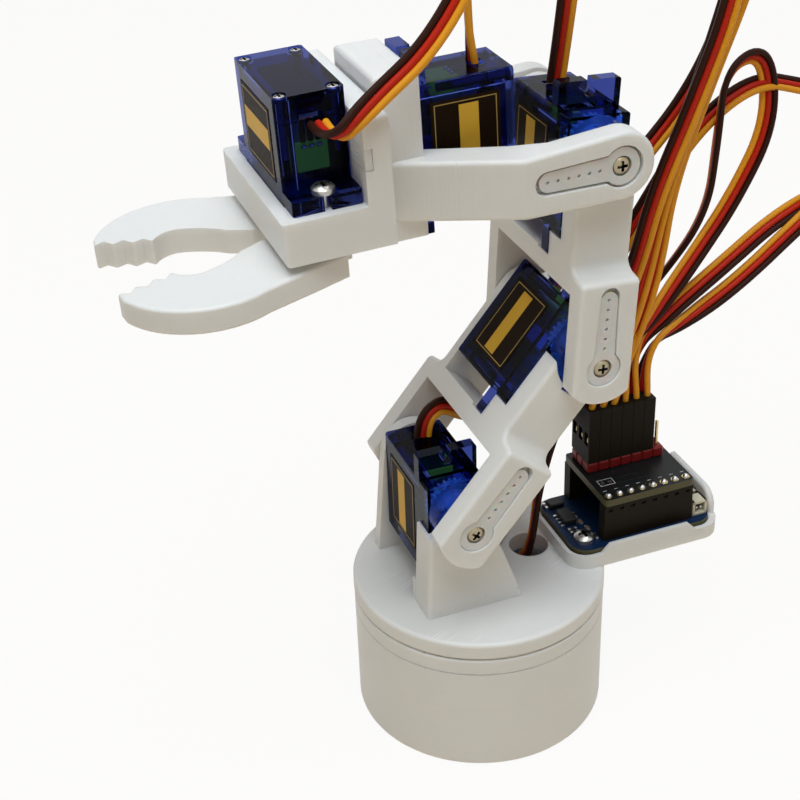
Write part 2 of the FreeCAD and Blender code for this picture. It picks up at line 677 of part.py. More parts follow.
def bracket_walls():
    """The two walls that carry the shoulder servo and its far pivot."""
    front = BRACKET_FRONT
    rear = BRACKET_REAR
    rear_top = BRACKET_REAR_TOP
    near_top = BRACKET_TOP
    near_outer = BRACKET_OUTER
    front_top = front - BRACKET_LEAN
    near = [
        Vector(rear, SERVO_SEAT, WAIST_TOP), Vector(front, SERVO_SEAT, WAIST_TOP),
        Vector(front_top, SERVO_SEAT, near_top), Vector(rear_top, SERVO_SEAT, near_top),
    ]
    near_wall = prism(near, Y_AXIS * (near_outer - SERVO_SEAT))
    middle = (WAIST_TOP + near_top) / 2
    near_wall = near_wall.makeFillet(ARM_EDGE, edges_near(near_wall, [
        Vector((front + front_top) / 2, near_outer, middle),
        Vector((rear + rear_top) / 2, near_outer, middle),
        Vector((front_top + rear_top) / 2, near_outer, near_top)]))
    side = SERVO_WIDTH / 2 + SERVO_ROOM
    lip = box(SHOULDER_X + side, front, BRACKET_LIP_INNER, SERVO_SEAT, WAIST_TOP, BRACKET_LIP_TOP)
    low_end = SHOULDER_Z - SERVO_TAIL - SERVO_ROOM
    pocket = box(SHOULDER_X - side, SHOULDER_X + side, SERVO_SEAT, COVER_POCKET, low_end, near_top + 1)
    through = COVER_POCKET - 1
    depth = near_outer - through + 1
    boss = rod(GEAR_BOSS_RADIUS + BRACKET_BOSS_ROOM, Vector(SHOULDER_X, through, SHOULDER_Z), Y_AXIS, depth)
    low_boss = Vector(SHOULDER_X, through, SHOULDER_Z - IDLER_BOSS_OFFSET)
    idler = rod(IDLER_BOSS_RADIUS + IDLER_ROOM, low_boss, Y_AXIS, depth)
    near_wall = near_wall.fuse(lip).cut(pocket).cut(boss).cut(idler)
    tab_hole = SHOULDER_Z + SERVO_MIDDLE - FLANGE_HOLE_PITCH / 2
    bore = Vector(SHOULDER_X, SERVO_SEAT - BRACKET_BACKING, tab_hole)
    pilot = near_outer - SERVO_SEAT - BRACKET_BACKING
    near_wall = near_wall.cut(rod(TAB_SCREW_RADIUS + SCREW_ROOM, bore, Y_AXIS, pilot))

    crown = ARM_HALF + FAR_WALL_MARGIN
    inner = FAR_CHEEK_INNER
    far = [
        Vector(rear, inner, WAIST_TOP), Vector(front + FAR_WALL_SPREAD, inner, WAIST_TOP),
        Vector(SHOULDER_X + crown, inner, SHOULDER_Z),
        (Vector(SHOULDER_X, inner, SHOULDER_Z + crown), Vector(SHOULDER_X - crown, inner, SHOULDER_Z)),
    ]
    far_wall = prism(far, Y_AXIS * (-CHEEK_OUTER - inner))
    driver_hole = rod(DRIVER_HOLE_RADIUS, Vector(SHOULDER_X, -CHEEK_OUTER, tab_hole), Y_AXIS,
                      CHEEK_OUTER + inner)
    stub = rod(STUB_RADIUS, Vector(SHOULDER_X, -CHEEK_OUTER, SHOULDER_Z), -Y_AXIS, STUB_LENGTH)
    return [near_wall, far_wall.cut(driver_hole).fuse(stub)]


def board_tray():
    """The shallow tray behind the bracket, with a near lip and a tall rounded end wall."""
    tray = rounded_plate(TRAY_BACK, TRAY_FRONT, -TRAY_HALF, TRAY_HALF, WAIST_TOP, TRAY_RIM, TRAY_CORNER)
    back = TRAY_LIP_BACK
    front = TRAY_LIP_FRONT
    lip = [
        Vector(back, TRAY_HALF, WAIST_TOP), Vector(front, TRAY_HALF, WAIST_TOP),
        Vector(front, TRAY_HALF, TRAY_RIM), Vector(front - TRAY_LIP_SLOPE, TRAY_HALF, TRAY_LIP),
        Vector(back + TRAY_LIP_SLOPE, TRAY_HALF, TRAY_LIP), Vector(back, TRAY_HALF, TRAY_RIM),
    ]
    near_lip = prism(lip, -Y_AXIS * TRAY_WALL)
    wall_far = TRAY_END_FAR
    wall_near = TRAY_END_NEAR
    corner = TRAY_END_CORNER
    bend = corner * (1 - math.sqrt(0.5))
    end = [
        Vector(TRAY_BACK, wall_far, WAIST_TOP), Vector(TRAY_BACK, wall_near, WAIST_TOP),
        Vector(TRAY_BACK, wall_near, TRAY_END_WALL - corner),
        (Vector(TRAY_BACK, wall_near - bend, TRAY_END_WALL - bend),
         Vector(TRAY_BACK, wall_near - corner, TRAY_END_WALL)),
        Vector(TRAY_BACK, wall_far, TRAY_END_WALL),
    ]
    end_wall = prism(end, X_AXIS * TRAY_END_THICKNESS)
    end_wall = end_wall.makeFillet(TRAY_END_EDGE, edges_near(end_wall, [
        Vector(TRAY_BACK, wall_far / 2, TRAY_END_WALL),
        Vector(TRAY_BACK + TRAY_END_THICKNESS, wall_far / 2, TRAY_END_WALL)]))
    inner = TRAY_HALF - TRAY_WALL
    room = rounded_plate(TRAY_BACK + TRAY_END_THICKNESS, TRAY_FRONT - TRAY_WALL, -inner, inner,
                         TRAY_FLOOR, TRAY_END_WALL + 1, TRAY_CORNER - TRAY_WALL)
    tray = tray.fuse([near_lip, end_wall]).cut(room)
    tray = tray.fuse([rod(BOARD_HEAD_RADIUS, Vector(x, y, WAIST_TOP), Z_AXIS, BOARD_BOTTOM - WAIST_TOP)
                      for x, y in BOARD_SCREWS])
    for x, y in BOARD_SCREWS:
        tray = tray.cut(rod(TAB_SCREW_RADIUS + SCREW_ROOM, Vector(x, y, WAIST_TOP), Z_AXIS, BOARD_PILOT))
    return tray


def waist(horn_place):
    """The turning disc with the shoulder bracket and the board tray, one print."""
    radius = BASE_RADIUS + DISC_OVERHANG
    disc = rod(radius, Vector(0, 0, WAIST_BOTTOM), Z_AXIS, WAIST_TOP - WAIST_BOTTOM)
    disc = disc.makeFillet(WAIST_EDGE, edges_near(disc, [
        Vector(-radius, 0, WAIST_BOTTOM), Vector(-radius, 0, WAIST_TOP)]))
    body = disc.fuse(bracket_walls() + [board_tray()])
    thickness = WAIST_TOP - WAIST_BOTTOM
    hole = rod(CABLE_HOLE_RADIUS, CABLE_HOLE + Z_AXIS * WAIST_BOTTOM, Z_AXIS, thickness)
    return body.cut(hole).cut(placed(horn_seat(BASE_SEAT_DEPTH), horn_place)).removeSplitter()


def arm_link():
    """One arm link: a fork below, a web, and the cheeks that hold the next servo.

    Built upright, with its lower pivot on the origin.
    """
    half = ARM_HALF
    top = LINK_LENGTH + half
    section = [Vector(-half, y, z) for y, z in (
        (FORK_OUTER, -FORK_APEX), (FORK_OUTER, FORK_STEP_OUTER), (CHEEK_OUTER, FORK_STEP_INNER),
        (CHEEK_OUTER, top), (SERVO_SEAT, top), (SERVO_SEAT, FORK_STEP_INNER),
        (FAR_CHEEK_INNER, FORK_STEP_INNER), (FAR_CHEEK_INNER, top), (-CHEEK_OUTER, top),
        (-CHEEK_OUTER, FORK_STEP_INNER), (-FORK_OUTER, FORK_STEP_OUTER), (-FORK_OUTER, -FORK_APEX),
        (-FORK_INNER, -FORK_APEX), (-FORK_INNER, WEB_BOTTOM), (FORK_INNER, WEB_BOTTOM),
        (FORK_INNER, -FORK_APEX))]
    link = prism(section, X_AXIS * 2 * half)
    link = link.makeFillet(STEP_HOLLOW, edges_near(link, [
        Vector(0, side * CHEEK_OUTER, FORK_STEP_INNER) for side in (1, -1)]))
    link = link.makeFillet(STEP_ROUND, edges_near(link, [
        Vector(0, side * FORK_OUTER, FORK_STEP_OUTER) for side in (1, -1)]))
    side = [
        Vector(half, -FORK_OUTER, -FORK_SIDE_END), Vector(half, -FORK_OUTER, LINK_LENGTH),
        (Vector(0, -FORK_OUTER, top), Vector(-half, -FORK_OUTER, LINK_LENGTH)),
        Vector(-half, -FORK_OUTER, -FORK_SIDE_END),
        (Vector(0, -FORK_OUTER, -FORK_APEX), Vector(half, -FORK_OUTER, -FORK_SIDE_END)),
    ]
    link = link.common(prism(side, Y_AXIS * 2 * FORK_OUTER))
    link = link.makeFillet(ARM_EDGE, edges_near(link, [
        Vector(across * half, out * FORK_OUTER, FORK_APEX) for across in (1, -1) for out in (1, -1)]))

    shaft = Vector(0, 0, LINK_LENGTH)
    low_y = SERVO_SEAT - 1
    high_y = CHEEK_OUTER + SERVO_ROOM
    link = link.cut(box(-half - 1, half + 1, low_y, high_y, PRONG_TOP, top + 1))
    link = link.cut(box(-half - 1, PRONG_REAR, low_y, high_y, REAR_CHEEK_TOP, top + 1))
    link = link.cut(rod(BOSS_ROOM_RADIUS, shaft + Y_AXIS * low_y, Y_AXIS, high_y - low_y))
    idler = Vector(0, low_y, LINK_LENGTH - IDLER_BOSS_OFFSET)
    link = link.cut(rod(IDLER_BOSS_RADIUS + IDLER_ROOM, idler, Y_AXIS, high_y - low_y - IDLER_SKIN))
    tab_end = LINK_LENGTH + SERVO_MIDDLE - FLANGE_LENGTH / 2 - SERVO_ROOM
    link = link.cut(box(-half - 1, half + 1, TAB_POCKET, SERVO_SEAT, tab_end, FORK_STEP_INNER + 1))
    case_end = LINK_LENGTH - SERVO_TAIL - SERVO_ROOM
    link = link.cut(box(-half - 1, half + 1, low_y, COVER_POCKET, case_end, top + 1))
    link = link.cut(box(-half - 1, WEB_REAR, FAR_CHEEK_INNER, SERVO_SEAT,
                        WEB_BOTTOM - 1, FORK_STEP_INNER + 1))
    tab_hole = LINK_LENGTH + SERVO_MIDDLE - FLANGE_HOLE_PITCH / 2
    link = link.cut(rod(TAB_SCREW_RADIUS + SCREW_ROOM, Vector(0, low_y, tab_hole), Y_AXIS, TAB_SCREW_LENGTH))
    link = link.fuse(rod(STUB_RADIUS, shaft - Y_AXIS * CHEEK_OUTER, -Y_AXIS, STUB_LENGTH))
    link = link.cut(rod(STUB_RADIUS + STUB_ROOM, -Y_AXIS * FORK_OUTER, Y_AXIS, STUB_HOLE))
    seat = placed(horn_seat(HORN_SEAT_DEPTH, LINK_SLOT_LENGTH), fork_horn_place(Z_AXIS))
    return link.cut(seat).removeSplitter()


def fork_horn_place(direction):
    """The place of a horn sunk in a fork's near wall, its arm along a direction."""
    return frame(Vector(0, FORK_OUTER - HORN_SUNK - HORN_HEIGHT, 0), direction, Y_AXIS)


def hand():
    """The wrist fork whose arms close in on the block that holds the roll servo."""
    round_end = HAND_ROUND_END
    bend = HAND_BEND
    arm_low = HAND_ARM_LOW
    arm_high = HAND_ARM_HIGH
    front = HAND_BLOCK_FRONT
    arm_front = front - HAND_ARM_SETBACK
    inner_half = SERVO_WIDTH / 2 + HAND_INNER_ROOM
    below = -2 * round_end
    side_view = [
        Vector(0, -FORK_OUTER, -round_end), Vector(bend, -FORK_OUTER, arm_low),
        Vector(front, -FORK_OUTER, arm_low), Vector(front, -FORK_OUTER, arm_high),
        Vector(bend, -FORK_OUTER, arm_high), Vector(0, -FORK_OUTER, round_end),
        (Vector(-round_end, -FORK_OUTER, 0), Vector(0, -FORK_OUTER, -round_end)),
    ]
    envelope = prism(side_view, Y_AXIS * 2 * FORK_OUTER)
    slant = Vector((bend + arm_front) / 2, (FORK_OUTER + HAND_BLOCK_HALF) / 2, 0)
    arms = []
    for side in (1, -1):
        plan = [Vector(x, side * y, below) for x, y in (
            (-round_end, FORK_INNER), (HAND_INNER_BEND, FORK_INNER), (HAND_BLOCK_BACK, inner_half),
            (front, inner_half), (front, HAND_BLOCK_HALF), (arm_front, HAND_BLOCK_HALF),
            (bend, FORK_OUTER), (-round_end, FORK_OUTER))]
        arm = prism(plan, Z_AXIS * 4 * round_end).common(envelope)
        arm = arm.makeFillet(HAND_EDGE, edges_near(arm, [
            Vector(bend / 2, side * FORK_OUTER, (arm_high + round_end) / 2),
            Vector(bend / 2, side * FORK_OUTER, (arm_low - round_end) / 2),
            Vector(-round_end, side * FORK_OUTER, 0),
            Vector(slant.x, side * slant.y, arm_high), Vector(slant.x, side * slant.y, arm_low)]))
        arms.append(arm)
    block = box(HAND_BLOCK_BACK, front, -HAND_BLOCK_HALF, HAND_BLOCK_HALF,
                HAND_BLOCK_BOTTOM, HAND_BLOCK_TOP)
    middle = (HAND_BLOCK_BACK + front) / 2
    block = block.makeFillet(HAND_TOP_EDGE, edges_near(block, [
        Vector(x, y, HAND_BLOCK_TOP) for x, y in (
            (middle, HAND_BLOCK_HALF), (middle, -HAND_BLOCK_HALF), (HAND_BLOCK_BACK, 0), (front, 0))]))
    body = block.fuse(arms)
    half = SERVO_WIDTH / 2 + SERVO_ROOM
    body = body.cut(box(HAND_BLOCK_BACK - 1, front + 1, -half, half,
                        ROLL_AXIS_Z - SERVO_TAIL - SERVO_ROOM, ROLL_AXIS_Z + SERVO_SHAFT_INSET + SERVO_ROOM))
    pilot = Vector(HAND_BLOCK_BACK - 1, 0, ROLL_AXIS_Z + SERVO_MIDDLE + FLANGE_HOLE_PITCH / 2)
    body = body.cut(rod(TAB_SCREW_RADIUS + SCREW_ROOM, pilot, X_AXIS, TAB_SCREW_LENGTH))
    body = body.cut(rod(STUB_RADIUS + STUB_ROOM, -Y_AXIS * FORK_OUTER, Y_AXIS, STUB_HOLE))
    slot = horn_seat(HORN_SEAT_DEPTH, HAND_SLOT_LENGTH, HAND_SLOT_ROOM)
    seat = placed(slot, fork_horn_place(X_AXIS))
    return body.cut(seat).removeSplitter()


def gripper_base():
    """The gripper's block and back plate, with a channel for the roll horn."""
    section = [Vector(x, -GRIP_HALF, z) for x, z in (
        (GRIP_BACK, GRIP_BOTTOM), (GRIP_FRONT, GRIP_BOTTOM), (GRIP_FRONT, GRIP_SEAT),
        (GRIP_PLATE_FRONT, GRIP_SEAT), (GRIP_PLATE_FRONT, GRIP_TOP), (GRIP_BACK, GRIP_TOP))]
    body = prism(section, Y_AXIS * 2 * GRIP_HALF)
    plate_middle = (GRIP_BACK + GRIP_PLATE_FRONT) / 2
    body = body.makeFillet(HAND_EDGE, edges_near(body, [
        Vector(GRIP_FRONT, GRIP_HALF, 0), Vector(GRIP_FRONT, -GRIP_HALF, 0),
        Vector(plate_middle, GRIP_HALF, GRIP_TOP), Vector(plate_middle, -GRIP_HALF, GRIP_TOP),
        Vector(GRIP_FRONT, 0, GRIP_BOTTOM)]))
    channel = HORN_TIP_RADIUS + HORN_ROOM
    back = GRIP_PLATE_FRONT - HORN_PLATE
    body = body.cut(box(back, GRIP_PLATE_FRONT + 1, -GRIP_HALF, GRIP_HALF,
                        ROLL_AXIS_Z - channel, ROLL_AXIS_Z + channel))
    outline = prism(horn_outline(0, HORN_ROOM, HORN_DOUBLE_LENGTH, arms=2), Z_AXIS * 2 * HORN_PLATE)
    body = body.cut(placed(outline, frame(Vector(back, 0, ROLL_AXIS_Z), Y_AXIS, X_AXIS)))
    hub = Vector(GRIP_BACK, 0, ROLL_AXIS_Z)
    body = body.cut(rod(HORN_HUB_RADIUS + HORN_ROOM, hub, X_AXIS, GRIP_PLATE_FRONT - GRIP_BACK))
    boss_low = CLAW_TOP + PIVOT_BOSS_GAP
    boss = Vector(CLAW_X, -CLAW_PIVOT_Y, boss_low)
    body = body.fuse(rod(PIVOT_HEAD_RADIUS - PIVOT_BOSS_INSET, boss, Z_AXIS,
                         GRIP_BOTTOM + GRIP_FLOOR_ROOM - boss_low))
    half = SERVO_WIDTH / 2 + SERVO_ROOM
    reach = SERVO_LENGTH / 2 + SERVO_ROOM
    floor = GRIP_SEAT + SERVO_FLANGE_TOP - SERVO_HEIGHT - GRIP_FLOOR_ROOM
    body = body.cut(box(CLAW_X - half, CLAW_X + half, -reach, reach, floor, GRIP_SEAT))
    shaft_boss = Vector(CLAW_X, CLAW_PIVOT_Y, GRIP_BOTTOM)
    body = body.cut(rod(GEAR_BOSS_RADIUS + GRIP_BOSS_ROOM, shaft_boss, Z_AXIS, floor - GRIP_BOTTOM + 1))
    idler_boss = Vector(CLAW_X, CLAW_PIVOT_Y - IDLER_BOSS_OFFSET, GRIP_BOTTOM - 1)
    body = body.cut(rod(IDLER_BOSS_RADIUS + GRIP_BOSS_ROOM, idler_boss, Z_AXIS, floor - GRIP_BOTTOM + 2))
    pivot = Vector(CLAW_X, -CLAW_PIVOT_Y, CLAW_TOP)
    body = body.cut(rod(PIVOT_SCREW_RADIUS + PRESS_ROOM, pivot, Z_AXIS, PIVOT_BORE))
    for end in (-1, 1):
        hole = Vector(CLAW_X, end * FLANGE_HOLE_PITCH / 2, GRIP_BOTTOM)
        body = body.cut(rod(TAB_SCREW_RADIUS + SCREW_ROOM, hole, Z_AXIS, PILOT_DEPTH))
    return body.removeSplitter()


def involute_point(base, roll, start):
    """A point on an involute that leaves the base circle at an angle."""
    angle = start + roll - math.atan(roll)
    reach = base * math.sqrt(1 + roll * roll)
    return Vector(reach * math.cos(angle), reach * math.sin(angle), 0)


def gear_tooth(centre_angle):
    """One gear tooth about the origin, as a flat face, with involute flanks."""
    base = GEAR_PITCH_RADIUS * math.cos(GEAR_PRESSURE)
    pitch_roll = math.tan(GEAR_PRESSURE)
    half_pitch = math.pi / (2 * GEAR_TEETH) - GEAR_BACKLASH / (2 * GEAR_PITCH_RADIUS)
    start = -half_pitch - (pitch_roll - GEAR_PRESSURE)
    tip_roll = math.sqrt((GEAR_TIP_RADIUS / base) ** 2 - 1)
    flank = [involute_point(base, tip_roll * step / FLANK_STEPS, start) for step in range(FLANK_STEPS + 1)]
    foot = Vector(GEAR_FOOT * math.cos(start), GEAR_FOOT * math.sin(start), 0)
    low = [foot] + flank
    high = [Vector(point.x, -point.y, 0) for point in reversed(low)]
    points = low + high
    face = Part.Face(Part.makePolygon(points + [points[0]]))
    face.rotate(Vector(), Z_AXIS, math.degrees(centre_angle))
    return face


def claw_gear(phase):
    """The toothed root of a claw about its own pivot."""
    height = Z_AXIS * CLAW_THICKNESS
    gear = rod(GEAR_ROOT_RADIUS, Vector(), Z_AXIS, CLAW_THICKNESS)
    teeth = []
    for index in range(GEAR_TEETH):
        teeth.append(gear_tooth(phase + 2 * math.pi * index / GEAR_TEETH).extrude(height))
    return gear.fuse(teeth)


def claw_blade():
    """A claw's serrated blade on the +Y side, from its own pivot, before its root is cut."""
    tip = Vector(34.9, 4.5, 0)
    tooth_pitch = Vector(-3.2, -1.07, 0)
    tooth_valley = Vector(1.35, 1.85, 0)
    peaks = [tip + tooth_pitch * index for index in range(1, CLAW_TEETH + 1)]
    serration = []
    for peak in peaks:
        serration += [peak + tooth_valley, peak]
    throat = Vector(20.7, 3.9, 0)
    outer_root = Vector(12.6, 14.6, 0)
    outer_middle = Vector(26.4, 15.4, 0)
    outer_tip = Vector(34.6, 6.9, 0)
    outline = [tip] + serration + [
        (Vector(23.4, 3.25, 0), throat), (Vector(17.2, 2.6, 0), Vector(12.7, -0.75, 0)),
        Vector(8.6, -2.9, 0), Vector(6.2, -3.4, 0), Vector(),
        Vector(-3.0, 4.2, 0), Vector(-3.0, 8.9, 0), Vector(3.85, 11.5, 0), outer_root,
        (outer_middle, outer_tip),
    ]
    height = Z_AXIS * CLAW_THICKNESS
    blade = prism(outline, height)
    serrated = [point + height / 2 for point in serration]
    blade = blade.makeFillet(CLAW_TOOTH_ROUND, edges_near(blade, serrated))
    corners = [outer_tip + height / 2, outer_root + height / 2]
    blade = blade.makeFillet(CLAW_CORNER, edges_near(blade, corners))
    return blade.makeFillet(CLAW_EDGE, edges_near(blade, [outer_middle, outer_middle + height]))


def claw(driven):
    """One claw in the hand's frame; the driven one takes the horn, the other a pivot screw."""
    side = 1 if driven else -1
    mate = -math.pi / 2
    step = 2 * math.pi / GEAR_TEETH
    gear = claw_gear(mate if driven else mate + step / 2)
    mate_room = rod(GEAR_TIP_RADIUS + GEAR_MATE_ROOM, Vector(0, -2 * GEAR_PITCH_RADIUS, 0), Z_AXIS,
                    CLAW_THICKNESS)
    body = claw_blade().cut(mate_room).fuse(gear).removeSplitter()
    if not driven:
        body = body.mirror(Vector(), Y_AXIS)
    body.translate(Vector(CLAW_X, side * CLAW_PIVOT_Y, CLAW_BOTTOM))
    if driven:
        return body.cut(placed(horn_seat(HORN_SEAT_DEPTH), claw_horn_place())).removeSplitter()
    pivot = Vector(CLAW_X, -CLAW_PIVOT_Y, CLAW_BOTTOM)
    return body.cut(rod(PIVOT_SCREW_RADIUS + PIVOT_ROOM, pivot, Z_AXIS, CLAW_THICKNESS)).removeSplitter()


def claw_horn_place():
    """The horn under the driven claw, its arm along the blade."""
    lean = math.radians(CLAW_HORN_LEAN)
    hub = Vector(CLAW_X, CLAW_PIVOT_Y, CLAW_BOTTOM + CLAW_HORN_SINK + HORN_HEIGHT)
    return frame(hub, Vector(math.cos(lean), math.sin(lean), 0), -Z_AXIS)


# Electronics

def main_board():
    """The controller board with rounded corners and two screw holes."""
    board = rounded_plate(BOARD_EDGE_X[0], BOARD_EDGE_X[1], -BOARD_HALF, BOARD_HALF,
                          BOARD_BOTTOM, BOARD_TOP, BOARD_CORNER)
    for x, y in BOARD_SCREWS:
        board = board.cut(rod(BOARD_HOLE_RADIUS, Vector(x, y, BOARD_BOTTOM), Z_AXIS, BOARD_THICKNESS))
    return board.removeSplitter()


def pin_row(x0, count, y):
    """Places of a row of pins along -X."""
    return [(x0 - index * PIN_PITCH, y) for index in range(count)]


def socket_rows():
    """The near and the far pin row of the plug-in board."""
    first = (MODULE_FRONT + MODULE_BACK) / 2 + (SOCKET_PINS - 1) / 2 * PIN_PITCH
    return [pin_row(first, SOCKET_PINS, y) for y in (MODULE_NEAR - SOCKET_INSET, MODULE_FAR + SOCKET_INSET)]


def module_sockets():
    """Two eight-way sockets that carry the plug-in board, with spring slots in their outer sides."""
    slot_top = BOARD_TOP + SOCKET_HEIGHT - SPRING_SLOT_DROP
    made = []
    for row, out in zip(socket_rows(), (1, -1)):
        y = row[0][1]
        x1 = row[0][0] + PIN_PITCH / 2
        x0 = row[-1][0] - PIN_PITCH / 2
        block = box(x0, x1, y - SOCKET_HALF, y + SOCKET_HALF, BOARD_TOP, BOARD_TOP + SOCKET_HEIGHT)
        deep, skin = sorted((y + out * (SOCKET_HALF - SPRING_SLOT_DEPTH), y + out * SOCKET_HALF))
        for x, pin_y in row:
            block = block.cut(box(x - PIN_ROOM_HALF, x + PIN_ROOM_HALF,
                                  pin_y - PIN_ROOM_HALF, pin_y + PIN_ROOM_HALF,
                                  BOARD_TOP + SOCKET_BORE_FLOOR, BOARD_TOP + SOCKET_HEIGHT))
            block = block.cut(box(x - SPRING_SLOT_HALF, x + SPRING_SLOT_HALF, deep, skin,
                                  slot_top - SPRING_SLOT_HEIGHT, slot_top))
        made.append(block)
    return made


def module_board():
    """The plug-in board with its two rows of pins."""
    board = rounded_plate(MODULE_BACK, MODULE_FRONT, MODULE_FAR, MODULE_NEAR,
                          MODULE_BOTTOM, MODULE_TOP, MODULE_CORNER)
    for row in socket_rows():
        for x, y in row:
            top = MODULE_TOP + (MODULE_PIN_TAIL if y > 0 else 0)
            board = board.fuse(box(x - PIN_HALF, x + PIN_HALF, y - PIN_HALF, y + PIN_HALF,
                                   MODULE_BOTTOM - MODULE_PIN_DROP, top))
    return board.removeSplitter()


def plug_columns(count):
    """The X places of the servo plugs."""
    return [PLUG_FRONT - (index + 0.5) * PIN_PITCH for index in range(count)]


def board_connectors():
    """The servo pin header on the plug-in board, with a spare column, and two side-entry sockets."""
    columns = plug_columns(PLUG_COUNT + 1)
    rows = [PLUG_NEAR - (index + 0.5) * PIN_PITCH for index in range(3)]
    header = box(columns[-1] - PIN_PITCH / 2, columns[0] + PIN_PITCH / 2,
                 PLUG_NEAR - PLUG_DEPTH, PLUG_NEAR, MODULE_TOP, MODULE_TOP + HEADER_HEIGHT)
    for x in columns:
        for y in rows:
            header = header.fuse(box(x - PIN_HALF, x + PIN_HALF, y - PIN_HALF, y + PIN_HALF,
                                     MODULE_TOP, PLUG_BOTTOM + HEADER_PIN_RISE))
    made = [header.removeSplitter()]
    back, front = POWER_SOCKET_X
    half = POWER_SOCKET_HALF
    wall = POWER_SOCKET_WALL
    top = BOARD_TOP + POWER_SOCKET_HEIGHT
    for y in POWER_SOCKET_Y:
        block = box(back, front, y - half, y + half, BOARD_TOP, top)
        slot = box(back + wall, front - wall, y - half + wall, y + half, BOARD_TOP + wall, top - wall)
        made.append(block.cut(slot))
    return made


def servo_plugs():
    """Six three-way servo plugs side by side, each with its pin holes and side windows."""
    made = []
    half = PIN_PITCH / 2 - PLUG_GAP
    for x in plug_columns(PLUG_COUNT):
        plug = box(x - half, x + half, PLUG_NEAR - PLUG_DEPTH, PLUG_NEAR, PLUG_BOTTOM, PLUG_TOP)
        for index in range(3):
            y = PLUG_NEAR - (index + 0.5) * PIN_PITCH
            plug = plug.cut(box(x - PIN_ROOM_HALF, x + PIN_ROOM_HALF, y - PIN_ROOM_HALF, y + PIN_ROOM_HALF,
                                PLUG_BOTTOM, PLUG_BOTTOM + PLUG_PIN_DEPTH))
            plug = plug.cut(box(x + PLUG_WINDOW_SKIN, x + half, y - PLUG_WINDOW_HALF, y + PLUG_WINDOW_HALF,
                                PLUG_BOTTOM + PLUG_WINDOW_LOW, PLUG_BOTTOM + PLUG_WINDOW_HIGH))
        made.append(plug)
    return made


# Leads: straight runs joined by tangent arcs

def lead(name, route):
    """A servo lead along a hand-laid route, as a round cord of the same section."""
    edges = []
    radii = []
    at = route[0]
    for before, corner, after in zip(route, route[1:], route[2:]):
        back = before - corner
        ahead = after - corner
        shorter = min(back.Length, ahead.Length)
        half_turn = (math.pi - back.getAngle(ahead)) / 2
        cut = LEAD_BEND_SHARE * shorter
        radius = cut / math.tan(half_turn)
        start = corner + back.normalize() * cut
        end = corner + ahead.normalize() * cut
        bisector = (back + ahead).normalize()
        middle = corner + bisector * (radius / math.cos(half_turn) - radius)
        edges.append(Part.LineSegment(at, start).toShape())
        edges.append(Part.Arc(start, middle, end).toShape())
        radii.append(radius)
        at = end
    edges.append(Part.LineSegment(at, route[-1]).toShape())
    spine = Part.Wire(edges)
    ring = Part.Wire([Part.makeCircle(LEAD_RADIUS, route[0], route[1] - route[0])])
    cord = spine.makePipeShell([ring], True, False)
    ideal = math.pi * LEAD_RADIUS ** 2 * spine.Length
    print("%s length %.1f mm, smallest radius %.1f mm, volume ratio %.3f"
          % (name, spine.Length, min(radii), cord.Volume / ideal))
    return export(name, cord)


